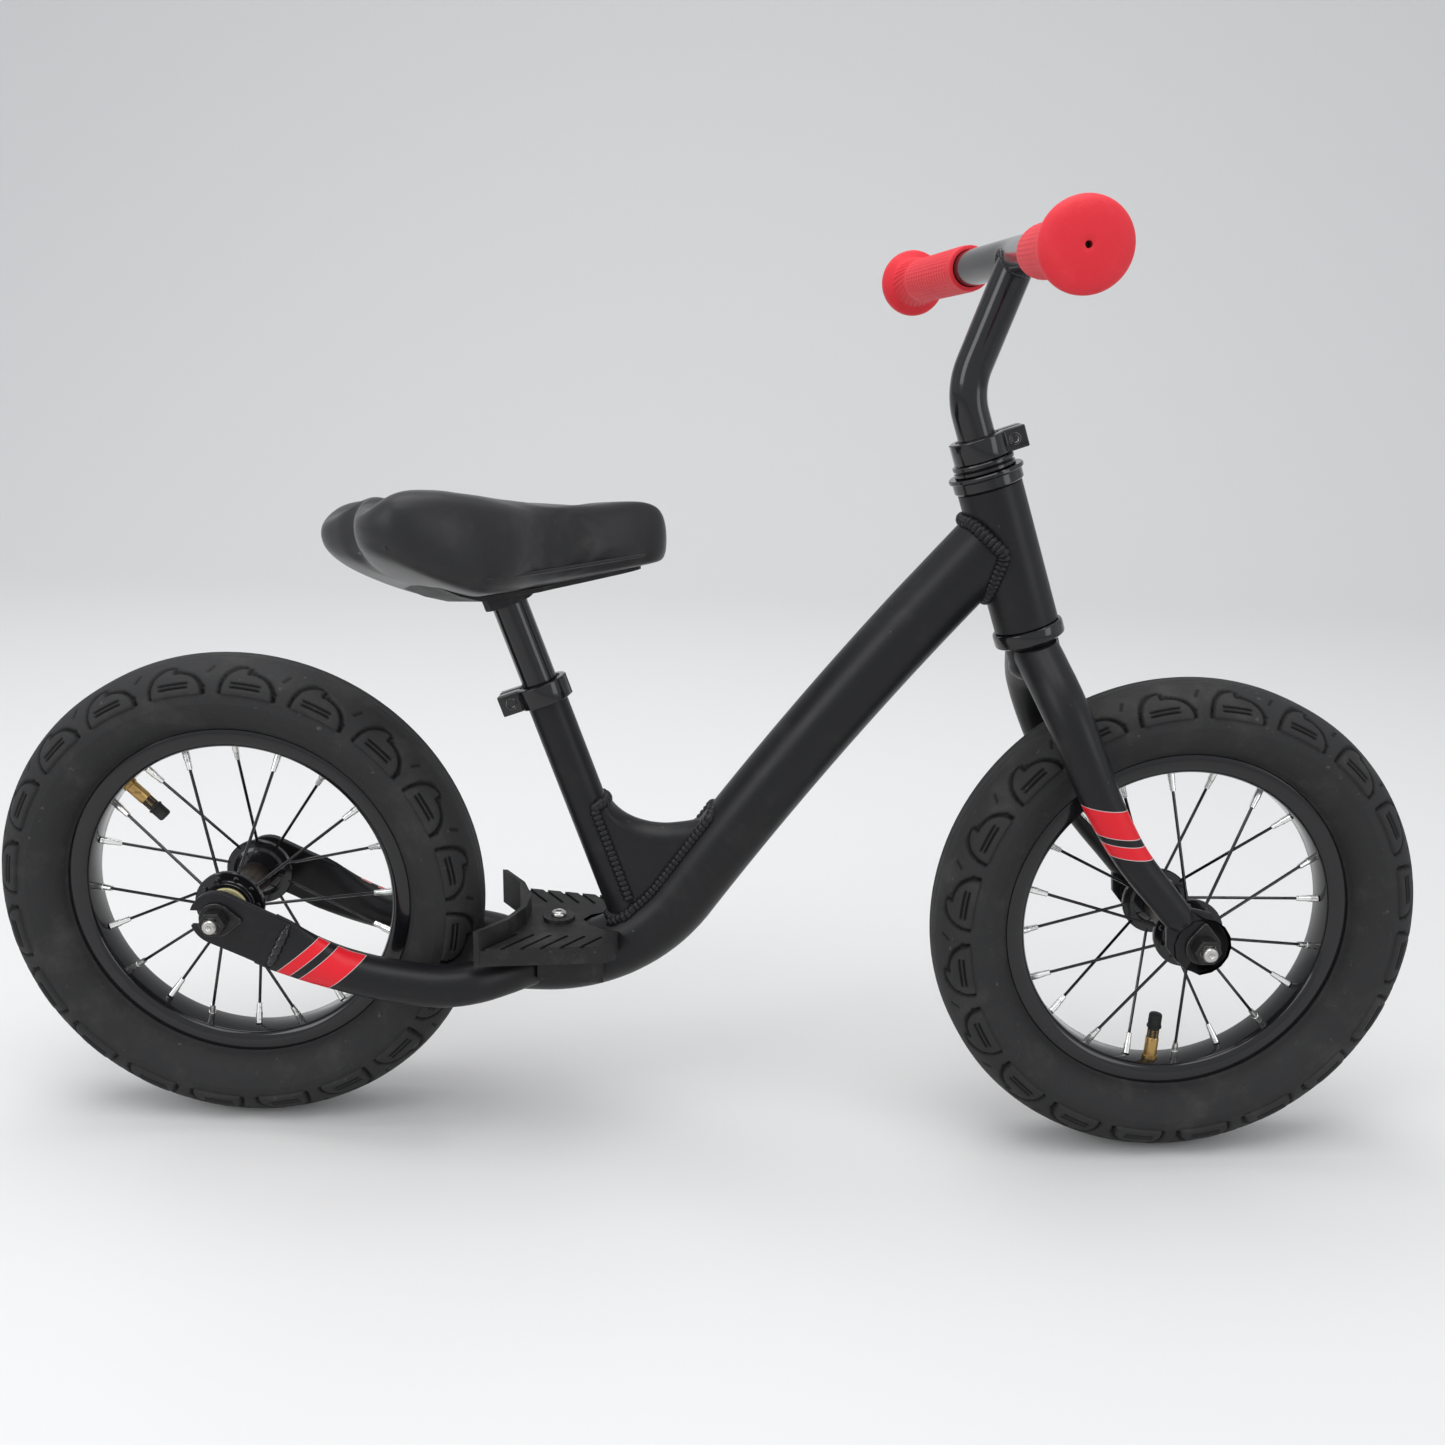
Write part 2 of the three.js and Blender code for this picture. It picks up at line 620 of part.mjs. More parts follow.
// Pressed headset cups, one at each end of the head tube, each holding a ring of balls
function addHeadset() {
  const insert = headTubeBore - fitGap;
  const insertBore = insert - cupWall;
  const top = headTubeLength + upperCupHeight;
  const seat = headTubeLength + fitGap;
  const upperPocket = upperCupRadius - cupWall;
  const upperCup = turnedUp([
    [insertBore, headTubeLength - cupDepth], [insert, headTubeLength - cupDepth], [insert, seat], [upperCupRadius, seat],
    [upperCupRadius, top - upperFlangeHeight], [upperFlangeRadius, top - upperFlangeHeight], [upperFlangeRadius, top],
    [upperPocket, top], [upperPocket, seat + cupFloor], [insertBore, seat + cupFloor], [insertBore, headTubeLength - cupDepth],
  ], tubeSides);
  addPart(headGroup, 'upper_headset_cup', solidOf(upperCup), glossBlack);

  const lowerPocket = lowerCupRadius - cupWall;
  const floor = -fitGap - cupFloor;
  const lowerCup = turnedUp([
    [insertBore, cupDepth], [insertBore, floor], [lowerPocket, floor], [lowerPocket, -lowerCupHeight],
    [lowerCupRadius - cupFloor, -lowerCupHeight], [lowerCupRadius, cupFloor - lowerCupHeight], [lowerCupRadius, floor],
    [lowerCupRadius - cupFloor, -fitGap], [insert, -fitGap], [insert, cupDepth], [insertBore, cupDepth],
  ], tubeSides);
  addPart(headGroup, 'lower_headset_cup', solidOf(lowerCup), glossBlack);

  const ballRingBore = clearOf(raceRadius, tubeSides);
  const upperBalls = ballRing(ballRingBore, upperPocket - fitGap, upperBallSeat, headBearingHeight);
  addPart(headGroup, 'upper_head_bearing', solidOf(turnedUp(upperBalls, tubeSides)), steel);
  const lowerBalls = ballRing(ballRingBore, lowerPocket - fitGap, lowerBallSeat, headBearingHeight);
  addPart(headGroup, 'lower_head_bearing', solidOf(turnedUp(lowerBalls, tubeSides)), steel);
}

// A split clamp that stands on z = 0: a ring, two ears along +X, and a counterbored hole for its bolt
function clampPlaces(tubeRadius) {
  const outer = tubeRadius + fitGap + clampWall;
  const boltForward = outer + clampEarReach - clampBoltInset;
  return { outer, tip: outer + clampEarReach, boltForward, half: clampEarWidth / 2, middle: clampHeight / 2 };
}

function clampSolid(tubeRadius, headSide) {
  const { outer, tip, boltForward, half, middle } = clampPlaces(tubeRadius);
  const ring = bar(outer, point(0, 0, 0), point(0, 0, clampHeight), tubeSides);
  const ears = box(point(0, -half, 0), point(tip, half, clampHeight));
  const bore = hole(tubeRadius, point(0, 0, -cutOverrun), point(0, 0, clampHeight + cutOverrun), tubeSides);
  const slitHalf = clampSlit / 2;
  const slit = box(point(0, -slitHalf, -cutOverrun), point(tip + cutOverrun, slitHalf, clampHeight + cutOverrun));
  const outside = half + cutOverrun;
  const boltHole = hole(clampBoltRadius, point(boltForward, -outside, middle), point(boltForward, outside, middle), boltSides);
  const recessFloor = point(boltForward, headSide * (half - clampBoltHeadHeight), middle);
  const recess = hole(clampBoltHeadRadius, point(boltForward, headSide * outside, middle), recessFloor, boltSides);
  return cut(joined(ring, ears), bore, slit, boltHole, recess);
}

function clampBolt(tubeRadius, headSide) {
  const { boltForward, half, middle } = clampPlaces(tubeRadius);
  const face = half + fitGap;
  const under = face - clampBoltHeadHeight;
  const profile = [
    [0, face - clampBoltSocket], [clampBoltSocket, face - clampBoltSocket], [clampBoltSocket, face],
    [clampBoltHeadRadius, face], [clampBoltHeadRadius, under], [clampBoltRadius, under], [clampBoltRadius, -half], [0, -half],
  ];
  const placed = profile.map(([radius, place]) => [radius, headSide * place]);
  return solidOf(turnedAcross(placed, boltSides).translate(boltForward, 0, middle));
}

function addSeatClamp() {
  const clamp = new THREE.Group();
  clamp.position.z = fitGap - clampHeight;
  clamp.rotation.z = Math.PI;
  seatGroup.add(clamp);
  addPart(clamp, 'seat_clamp', clampSolid(seatTubeRadius, sides.left), glossBlack);
  addPart(clamp, 'seat_clamp_bolt', clampBolt(seatTubeRadius, sides.left), steel);
}

// The moulded footrest straddles the main tube: two wings, a curved lip behind and a skirt down each side
function addFootrest() {
  const rear = footrestRearForward;
  const front = footrestFront;
  const [rearHalf, frontHalf] = [footrestRearWidth / 2, footrestFrontWidth / 2];
  const deckFoot = footrestDeckTop - footrestDeck;
  const bow = rear + 2 * footrestLipBow;
  const deckOutline = new THREE.Shape();
  deckOutline.moveTo(rear, -rearHalf);
  deckOutline.quadraticCurveTo(bow, 0, rear, rearHalf);
  deckOutline.lineTo(front - footrestCorner, frontHalf + footrestCorner / 4);
  deckOutline.quadraticCurveTo(front, frontHalf, front, frontHalf - footrestCorner);
  deckOutline.lineTo(front, footrestCorner - frontHalf);
  deckOutline.quadraticCurveTo(front, -frontHalf, front - footrestCorner, -frontHalf - footrestCorner / 4);
  const deck = plateUp(deckOutline, deckFoot, footrestDeckTop);

  const lipOutline = new THREE.Shape();
  lipOutline.moveTo(rear, -rearHalf);
  lipOutline.quadraticCurveTo(bow, 0, rear, rearHalf);
  lipOutline.lineTo(rear + footrestLipThickness, rearHalf);
  lipOutline.quadraticCurveTo(bow + footrestLipThickness, 0, rear + footrestLipThickness, -rearHalf);
  const lip = plateUp(lipOutline, deckFoot, footrestDeckTop + footrestLipHeight);

  const skirtHalf = footrestSkirtWidth / 2;
  const skirtFoot = point(alongFootrest(footrestSkirtShare), -skirtHalf, mainTubeHeight - footrestSkirtSink);
  const skirt = box(skirtFoot, point(front - footrestCorner, skirtHalf, footrestDeckTop - footrestDeck / 2));
  const bossTop = point(footrestBoltForward, 0, footrestDeckTop + footrestBossHeight);
  const boss = bar(footrestBossRadius, bossTop.clone().setZ(deckFoot), bossTop, smallSides);

  const notchHalf = footrestNotchWidth / 2;
  const notchCentre = front - footrestNotchDepth + notchHalf;
  const notchEnd = bar(notchHalf, point(notchCentre, 0, 0), point(notchCentre, 0, seatTubeTop), smallSides);
  const notch = box(point(notchCentre, -notchHalf, 0), point(front + cutOverrun, notchHalf, seatTubeTop));
  const boltHole = hole(footrestBoltRadius, bossTop.clone().setZ(mainTubeHeight), bossTop.clone().setZ(seatTubeTop), boltSides);

  const grooves = [];
  for (const side of Object.values(sides)) {
    for (let i = 1; i <= footrestGrooveCount; i += 1) {
      const middle = rear + footrestLipBow / 2 + ((front - rear) * i) / (footrestGrooveCount + 2);
      const corner = point(footrestGrooveWidth / 2, rearHalf, footrestGrooveDepth);
      const groove = box(point(-footrestGrooveWidth / 2, 0, -footrestGrooveDepth), corner);
      groove.rotateZ(radians(footrestGrooveAngle)).scale(1, side, 1);
      grooves.push(groove.translate(middle, side * skirtHalf, footrestDeckTop));
    }
  }
  const stays = Object.values(sides).map((side) => stayBody(side, fitGap, smallSides, 10));
  const body = cut(joined(deck, lip, skirt, boss), mainTubeBody(fitGap), ...stays, notchEnd, notch, boltHole, ...grooves);
  addPart(bike, 'footrest', body, plasticBlack);

  const headFootZ = bossTop.z + fitGap;
  const [boltFoot, boltTop] = [headFootZ - footrestBoltLength, headFootZ + footrestBoltHeadHeight];
  const bolt = turnedUp([
    [0, boltFoot], [footrestBoltRadius, boltFoot], [footrestBoltRadius, headFootZ], [footrestBoltHeadRadius, headFootZ],
    [footrestBoltHeadRadius - footrestBoltHeadHeight / 2, boltTop], [0, boltTop],
  ], boltSides);
  addPart(bike, 'footrest_bolt', solidOf(bolt.translate(footrestBoltForward, 0, 0)), steel);
}

// Heights on the steering axis of what the steerer carries
const topRingFoot = headTubeLength + upperCupHeight + fitGap;
const collarFoot = topRingFoot + topRingHeight + fitGap;
const steererTop = collarFoot + clampHeight;

// The fork: two tapered legs sweep out of the neck under the head tube and end in slotted dropouts
function addFork() {
  const steerer = turnedUp([
    [0, neckTop - neckHeight], [neckRadius, neckTop - neckHeight], [neckRadius, neckTop], [steererRadius, neckTop],
    [steererRadius, steererTop], [0, steererTop],
  ], tubeSides);
  const outsides = [];
  const insides = [hole(stemRadius, point(0, 0, neckTop - neckHeight / 2), point(0, 0, steererTop + cutOverrun), tubeSides)];
  const legRadiusAt = (share) => forkLegRadius * follow(forkTaperShares, share);
  const legDrop = axleToHeadTube - forkLegEndAbove;
  const legReach = forkRake - forkLegEndBehind;
  const toLeg = new THREE.Vector2(-forkLegEndBehind, forkLegEndAbove);
  const tongueAngle = THREE.MathUtils.radToDeg(toLeg.angle());
  const tongueLength = toLeg.length() + forkTongueLap;
  for (const side of Object.values(sides)) {
    const points = forkLegShares.map(([along, across, down]) => (
      point(along * legReach, side * across * forkLegSpread, -down * legDrop)));
    const path = new THREE.CatmullRomCurve3(points);
    outsides.push(taperedSweep(path, (share) => [legRadiusAt(share), legRadiusAt(share)], smallSides, 8));
    const axle = point(forkRake, 0, -axleToHeadTube);
    outsides.push(dropout(side, axle, tongueAngle, tongueLength, forkTongueWidth, -90));
    const boreRadiusAt = (share) => legRadiusAt(share) - forkLegWall;
    insides.push(taperedSweep(path, (share) => [boreRadiusAt(share), boreRadiusAt(share)], boreSides, 7));
  }
  const slitHalf = clampSlit / 2;
  const slit = box(point(0, -slitHalf, steererTop - steererSlitLength), point(steererRadius + cutOverrun, slitHalf, steererTop + cutOverrun));
  const aboveNeck = box(point(-forkLegSpread, -forkLegSpread, neckTop), point(forkLegSpread, forkLegSpread, steererTop));
  const whole = cut(joined(...outsides), aboveNeck).add(solidOf(steerer));
  addPart(steeringGroup, 'fork', cut(whole, ...insides, slit), satinBlack);

  const raceBore = clearOf(steererRadius, tubeSides);
  const raceFoot = neckTop + fitGap;
  const raceFlangeTop = lowerBallSeat - fitGap;
  const raceTop = lowerBallSeat + headBearingHeight;
  const crownRace = turnedUp([
    [raceBore, raceFoot], [raceFlangeRadius, raceFoot], [raceFlangeRadius, raceFlangeTop], [raceRadius, raceFlangeTop],
    [raceRadius, raceTop], [raceBore, raceTop], [raceBore, raceFoot],
  ], tubeSides);
  addPart(steeringGroup, 'crown_race', solidOf(crownRace), steel);

  const groove = topRingFoot + topRingHeight / 2;
  const topRingTop = topRingFoot + topRingHeight;
  const topRing = turnedUp([
    [raceBore, upperBallSeat], [raceRadius, upperBallSeat], [raceRadius, topRingFoot], [topRingRadius, topRingFoot],
    [topRingRadius, groove - topRingGroove / 2], [topRingRadius - topRingGroove, groove], [topRingRadius, groove + topRingGroove / 2],
    [topRingRadius, topRingTop], [raceBore, topRingTop], [raceBore, upperBallSeat],
  ], tubeSides);
  addPart(steeringGroup, 'headset_top_ring', solidOf(topRing), glossBlack);

  const collar = new THREE.Group();
  collar.position.z = collarFoot;
  steeringGroup.add(collar);
  addPart(collar, 'steerer_collar', clampSolid(steererRadius, sides.right), glossBlack);
  addPart(collar, 'steerer_collar_bolt', clampBolt(steererRadius, sides.right), steel);
}

// The handlebar: one tube bent forwards out of the steerer, with a crossbar whose two arms sweep back
function addHandlebar() {
  const stemFoot = steererTop - stemInsert;
  const stemTop = point(0, 0, steererTop + stemRise);
  const turn = radians(stemBendAngle);
  const stemBend = new LeaningBend(stemTop, stemBendRadius, turn);
  const stemEnd = stemBend.getPoint(1);
  const joint = stemEnd.clone().add(point(Math.sin(turn), 0, Math.cos(turn)).multiplyScalar(stemStraight));
  const stemPath = (foot) => {
    const path = new THREE.CurvePath();
    path.add(new THREE.LineCurve3(point(0, 0, foot), stemTop));
    path.add(stemBend);
    path.add(new THREE.LineCurve3(stemEnd, joint));
    return path;
  };
  const sweep = radians(barSweepAngle);
  const onArm = (side, reach) => point(-reach * Math.sin(sweep), side * reach * Math.cos(sweep), 0).add(joint);
  const barPath = (halfLength) => {
    const path = new THREE.CurvePath();
    path.add(new THREE.LineCurve3(onArm(-1, halfLength), onArm(-1, barBendReach)));
    path.add(new THREE.QuadraticBezierCurve3(onArm(-1, barBendReach), joint, onArm(1, barBendReach)));
    path.add(new THREE.LineCurve3(onArm(1, barBendReach), onArm(1, halfLength)));
    return path;
  };
  const stem = swept(stemPath(stemFoot), stemRadius, smallSides, 8);
  const crossbar = swept(barPath(barHalfLength), stemRadius, smallSides, 7);
  const stemInside = swept(stemPath(stemFoot - cutOverrun), stemBore, boreSides, 6);
  const barInside = swept(barPath(barHalfLength + cutOverrun), stemBore, boreSides, 3);
  addPart(steeringGroup, 'handlebar', cut(joined(stem, crossbar), stemInside, barInside), glossBlack);

  const gripBore = clearOf(stemRadius, smallSides);
  const wallFoot = barHalfLength + fitGap;
  const gripEnd = wallFoot + gripEndWall;
  const knobFoot = gripEnd - gripKnobLength;
  const gripProfile = [
    [gripBore, gripInnerEnd], [gripRadius, gripInnerEnd], [gripRadius, knobFoot - gripFlare],
    [gripRadius + gripNeckSwell, knobFoot], [gripKnobRadius, knobFoot + gripKnobLength / 4],
    [gripKnobRadius, knobFoot + gripKnobLength / 2], [(gripKnobRadius + gripRadius) / 2, gripEnd - gripKnobDome],
    [gripRadius / 2, gripEnd], [gripAirHole, gripEnd], [gripAirHole, wallFoot], [gripBore, wallFoot], [gripBore, gripInnerEnd],
  ];
  for (const [name, side] of Object.entries(sides)) {
    const arm = new THREE.Group();
    arm.position.copy(joint);
    arm.rotation.z = side * sweep;
    steeringGroup.add(arm);
    const profile = gripProfile.map(([radius, place]) => [radius, side * place]);
    addPart(arm, `grip_${name}`, solidOf(turnedAcross(profile, smallSides)), gripRed);
  }
}

// The tyre's half profile: its outside, its bead in the rim, its lining, and the inner tube that presses on that
function tyreProfile() {
  const rimGap = fitGap * 2;
  const depth = tyreRadius - rimRadius - rimGap;
  const half = tyreWidth / 2;
  const outside = tyreOutlineShares.map(([down, across]) => [tyreRadius - down * depth, across * half]);
  const liningRadius = tyreRadius - tyreTreadWall;
  const liningDepth = depth - tyreTreadWall;
  const inside = (shares) => shares.map(([down, across]) => [liningRadius - down * liningDepth, across * (half - tyreSideWall)]);
  const lip = rimWidth / 2 - rimLip - fitGap;
  const beadFoot = rimRadius - beadDepth;
  const beadInner = lip - rimTaper - beadWidth;
  const bead = [[rimRadius + rimGap, lip], [beadFoot, lip - rimTaper], [beadFoot, beadInner]];
  const innerTube = [...inside(innerTubeShares).reverse(), [beadFoot, beadInner - fitGap]];
  return { tyre: [...outside, ...bead, ...inside(tyreLiningShares)], innerTube };
}

// Shoulder blocks down both sides of the tread: every second ring of the shoulder dips, and the two sides take turns
function withTread(tyre) {
  const corners = tyre.getAttribute('position');
  const [low, high] = treadDipShares.map((share) => tyreRadius - share * (tyreRadius - rimRadius));
  for (let i = 0; i < corners.count; i += 1) {
    const corner = point(corners.getX(i), corners.getY(i), corners.getZ(i));
    const radius = Math.hypot(corner.x, corner.z);
    const ring = Math.round((wheelSides * (Math.atan2(corner.x, corner.z) + Math.PI)) / (2 * Math.PI));
    const dips = (ring % 2 === 0) === (corner.y > 0);
    const onShoulder = radius < low && radius > high && Math.abs(corner.y) > tyreWidth / 2 - tyreSideWall;
    if (dips && onShoulder) {
      const share = 1 - treadDip / radius;
      corners.setXYZ(i, corner.x * share, corner.y - Math.sign(corner.y) * treadDip, corner.z * share);
    }
  }
  return tyre;
}

function addTyreAndTube(wheel, prefix, valveTurn) {
  const profile = tyreProfile();
  const tyre = withTread(turnedAcross(mirroredProfile(profile.tyre), wheelSides));
  addPart(wheel, `${prefix}_tyre`, solidOf(tyre), rubberBlack);

  const skin = turnedAcross(mirroredProfile(profile.innerTube), innerTubeSides);
  const valveTip = rimRadius - rimDepth - valveLength;
  const valve = bar(valveRadius, point(0, 0, valveTip), point(0, 0, rimRadius), boltSides);
  const turned = (geometry) => geometry.rotateY(radians(valveTurn));
  addPart(wheel, `${prefix}_inner_tube`, joined(skin, turned(valve)), rubberBlack);

  const capTop = valveTip - fitGap;
  const capFoot = capTop - valveCapLength;
  const cap = turnedUp([
    [0, capFoot], [valveCapRadius - valveCapBevel, capFoot], [valveCapRadius, capFoot + valveCapBevel], [valveCapRadius, capTop], [0, capTop],
  ], boltSides);
  addPart(wheel, `${prefix}_valve_cap`, solidOf(turned(cap)), rubberBlack);
}

function addRim(wheel, prefix, valveTurn) {
  const half = rimWidth / 2;
  const base = rimRadius - rimDepth;
  const rim = turnedAcross(mirroredProfile([
    [base, half - rimTaper], [base + 2 * rimTaper, half], [rimRadius, half], [rimRadius, half - rimLip],
    [base + rimWall, half - rimLip - rimTaper],
  ]), wheelSides);
  const valveHole = hole(valveRadius, point(0, 0, base - cutOverrun), point(0, 0, rimRadius), boltSides);
  addPart(wheel, `${prefix}_rim`, cut(solidOf(rim), valveHole.rotateY(radians(valveTurn))), glossBlack);
}

// The hub shell with its spokes: each runs from a flange hole to a nipple under the rim, and the valve stands
// midway between two of them
function addHub(wheel, prefix, valveTurn) {
  const flangeMiddle = hubFlangeSpacing / 2;
  const flangeInner = flangeMiddle - hubFlangeThickness / 2;
  const flangeOuter = flangeMiddle + hubFlangeThickness / 2;
  const end = hubWidth / 2;
  const cupBore = clearOf(hubBallRadius, smallSides);
  const shell = turnedAcross(mirroredProfile([
    [hubBore, end - hubCupDepth], [cupBore, end - hubCupDepth], [cupBore, end], [cupBore + hubCupWall, end],
    [cupBore + hubCupWall, flangeOuter], [hubFlangeRadius, flangeOuter], [hubFlangeRadius, flangeInner],
    [hubShoulderRadius, flangeInner], [hubBarrelRadius, flangeInner - hubShoulderLength],
  ]), smallSides);
  const rimFlat = (rimRadius - rimDepth) * Math.cos(Math.PI / wheelSides);
  const lean = (flangeMiddle - spokeRimOffset) / (rimFlat - spokeCircleRadius);
  const headRadius = rimFlat - fitGap - lean * nippleRadius;
  const spokes = [];
  for (let i = 0; i < spokeCount; i += 1) {
    const side = i % 2 === 0 ? 1 : -1;
    const foot = point(0, side * flangeMiddle, spokeCircleRadius);
    const head = point(0, side * spokeRimOffset, headRadius);
    const along = head.clone().sub(foot);
    const length = along.length();
    const nippleFoot = length - nippleLength;
    const spoke = turnedAcross([
      [0, 0], [spokeRadius, 0], [spokeRadius, nippleFoot], [nippleRadius, nippleFoot], [nippleRadius, length], [0, length],
    ], spokeSides);
    spoke.applyQuaternion(new THREE.Quaternion().setFromUnitVectors(point(0, 1, 0), along.normalize()));
    const turn = radians(valveTurn) + (2 * Math.PI * (i + 1 / 2)) / spokeCount;
    spokes.push(spoke.translate(foot.x, foot.y, foot.z).rotateY(turn));
  }
  addPart(wheel, `${prefix}_hub`, joined(shell, ...spokes), darkSteel);
}

// Ball rings and dust rings sit in the hub's cups and turn with it
function addHubBearings(wheel, prefix) {
  const end = hubWidth / 2;
  const inner = clearOf(coneRadius, boltSides);
  const outer = hubBallRadius;
  const ringFoot = end - hubCupDepth + fitGap;
  const sealFoot = ringFoot + ballRingWidth + fitGap;
  const seal = [
    [inner, sealFoot], [outer, sealFoot], [outer, end + dustRingLip], [inner, sealFoot + dustRingWidth + dustRingLip], [inner, sealFoot],
  ];
  for (const [name, side] of Object.entries(sides)) {
    const place = (profile) => profile.map(([radius, along]) => [radius, side * along]);
    const balls = turnedAcross(place(ballRing(inner, outer, ringFoot, ballRingWidth)), boltSides);
    addPart(wheel, `${prefix}_ball_ring_${name}`, solidOf(balls), steel);
    addPart(wheel, `${prefix}_dust_ring_${name}`, solidOf(turnedAcross(place(seal), boltSides)), sealCream);
  }
}

function addWheel(parent, prefix, valveTurn) {
  addTyreAndTube(parent, prefix, valveTurn);
  addRim(parent, prefix, valveTurn);
  addHub(parent, prefix, valveTurn);
  addHubBearings(parent, prefix);
}

// The axle, with a cone and locknut, a hooked washer and a hexagon nut on each side
function addAxle(parent, prefix, tabAngle) {
  const half = axleLength / 2;
  const axle = turnedAcross([
    [0, axleDimple - half], [axleDimple, -half], [axleRadius - fitGap, -half], [axleRadius, fitGap - half],
    [axleRadius, half - fitGap], [axleRadius - fitGap, half], [axleDimple, half], [0, half - axleDimple],
  ], boltSides);
  addPart(parent, `${prefix}_axle`, solidOf(axle), steel);

  const bore = clearOf(axleRadius, boltSides);
  const inner = dropoutSpacing / 2;
  const coneStart = hubWidth / 2 - hubCupDepth + fitGap;
  const locknutEnd = inner - fitGap;
  const flangeEnd = locknutEnd - locknutWidth;
  const washerFoot = inner + dropoutThickness + fitGap;
  const washerFace = washerFoot + washerThickness;
  const nutFoot = washerFace + fitGap;
  const nutTop = nutFoot + axleNutHeight;
  const corner = axleNutWidth / 2 / Math.cos(Math.PI / 6);
  for (const [name, side] of Object.entries(sides)) {
    const place = (profile) => profile.map(([radius, along]) => [radius, side * along]);
    const cone = place([
      [bore, coneStart], [coneTip, coneStart], [coneRadius, coneStart + ballRingWidth / 2], [coneRadius, flangeEnd - coneFlangeWidth],
      [coneFlangeRadius, flangeEnd - coneFlangeWidth], [coneFlangeRadius, flangeEnd - nutChamfer], [locknutRadius - nutChamfer, flangeEnd],
      [locknutRadius, flangeEnd + nutChamfer], [locknutRadius, locknutEnd], [bore, locknutEnd], [bore, coneStart],
    ]);
    addPart(parent, `${prefix}_cone_${name}`, solidOf(turnedAcross(cone, boltSides)), darkSteel);

    const [low, high] = [side * washerFoot, side * washerFace].sort((a, b) => a - b);
    const disc = bar(washerRadius, point(0, low, 0), point(0, high, 0), smallSides);
    const tab = box(point(0, low, -washerTabWidth / 2), point(washerTabReach, high, washerTabWidth / 2));
    const axleHole = hole(axleRadius, point(0, low - cutOverrun, 0), point(0, high + cutOverrun, 0), boltSides);
    addPart(parent, `${prefix}_washer_${name}`, cut(joined(disc, tab.rotateY(-radians(tabAngle))), axleHole), steel);

    const nut = solidOf(turnedAcross(place([
      [0, nutFoot], [corner, nutFoot], [corner, nutTop - nutChamfer], [corner - nutChamfer, nutTop], [0, nutTop],
    ]), 6));
    const thread = hole(axleRadius, point(0, side * (nutFoot - cutOverrun), 0), point(0, side * (nutTop + cutOverrun), 0), boltSides);
    addPart(parent, `${prefix}_axle_nut_${name}`, cut(nut, thread), steel);
  }
}

// The saddle's outline, from the notch between its tail lobes round to the nose and back
function saddleOutline() {
  const left = [
    ...saddleTailShares.map(([along, across]) => point(-along * saddleTail, across * saddleHalfWidth, 0)),
    ...saddleNoseShares.map(([along, across]) => point(along * saddleNose, across * saddleHalfWidth, 0)),
  ];
  const right = left.slice(1, -1).reverse().map(({ x, y }) => point(x, -y, 0));
  const outline = new THREE.CatmullRomCurve3([...left, ...right], true, 'catmullrom');
  return outline.getPoints(2 * (left.length + right.length)).slice(0, -1);
}

function saddleUnderside(along) {
  const behind = -saddleSkirtBack - along;
  const [reach, rise] = behind > 0 ? [saddleTail - saddleSkirtBack, saddleTailRise] : [saddleNose + saddleSkirtBack, saddleNoseRise];
  return rise * (Math.abs(behind) / reach) ** 1.3 - saddleSkirtDrop;
}

function saddleLayer(insetShare, liftShare, troughShare) {
  return saddleOutline().map(({ x, y }) => {
    const lengthShare = x < 0 ? x / saddleTail : x / saddleNose;
    const spine = THREE.MathUtils.clamp(x, saddleSpineShares[0] * saddleTail, saddleSpineShares[1] * saddleNose);
    const along = THREE.MathUtils.lerp(x, spine, insetShare);
    const top = saddleCrown * follow(saddleTopShares, lengthShare);
    const foot = saddleUnderside(along);
    const dip = saddleTrough * troughShare * THREE.MathUtils.clamp(-2 * lengthShare, 0, 1);
    return point(along, y * (1 - insetShare), foot + (top - foot) * liftShare - dip);
  });
}

function addSaddle() {
  const postTop = saddleUp + panSocketRise - panSocketRoof - fitGap;
  const post = turnedUp(ringProfile(seatPostBore, seatPostRadius, -seatPostInsert, postTop), tubeSides);
  addPart(seatGroup, 'seat_post', solidOf(post), glossBlack);

  const turnGroup = new THREE.Group();
  turnGroup.position.z = saddleUp;
  turnGroup.rotation.z = radians(saddleTurn);
  seatGroup.add(turnGroup);
  const saddleGroup = new THREE.Group();
  saddleGroup.rotation.y = seatTilt;
  turnGroup.add(saddleGroup);

  const onPost = (up) => seatUp.clone().multiplyScalar(up);
  const below = onPost(-panSocketDrop - cutOverrun);
  const socket = bar(panSocketRadius, onPost(-panSocketDrop), onPost(panSocketRise), tubeSides);
  const socketBore = hole(seatPostRadius, below, onPost(panSocketRise - panSocketRoof), tubeSides);
  const lowered = (layer, drop) => layer.map(({ x, y, z }) => point(x, y, z - drop));
  const panLayer = saddleLayer(panInsetShare, 0, 0);
  const pan = lofted([lowered(panLayer, fitGap + panThickness), lowered(panLayer, fitGap)]);
  addPart(saddleGroup, 'saddle_pan', cut(joined(pan, socket), socketBore), plasticBlack);

  const cushion = lofted(saddleLayerShares.map((shares) => saddleLayer(...shares)));
  const socketSpace = hole(panSocketRadius, below, onPost(panSocketRise + fitGap), tubeSides);
  addPart(saddleGroup, 'saddle_cushion', cut(solidOf(cushion), socketSpace), vinylBlack);
}

addFrameTubes();
addGusset();
addRearDropouts();
addHeadset();
addSeatClamp();
addFootrest();
addSaddle();
addFork();
addHandlebar();

const rearWheel = new THREE.Group();
rearWheel.position.z = tyreRadius;
bike.add(rearWheel);
addWheel(rearWheel, 'rear', rearValveTurn);
addAxle(rearWheel, 'rear', 0);

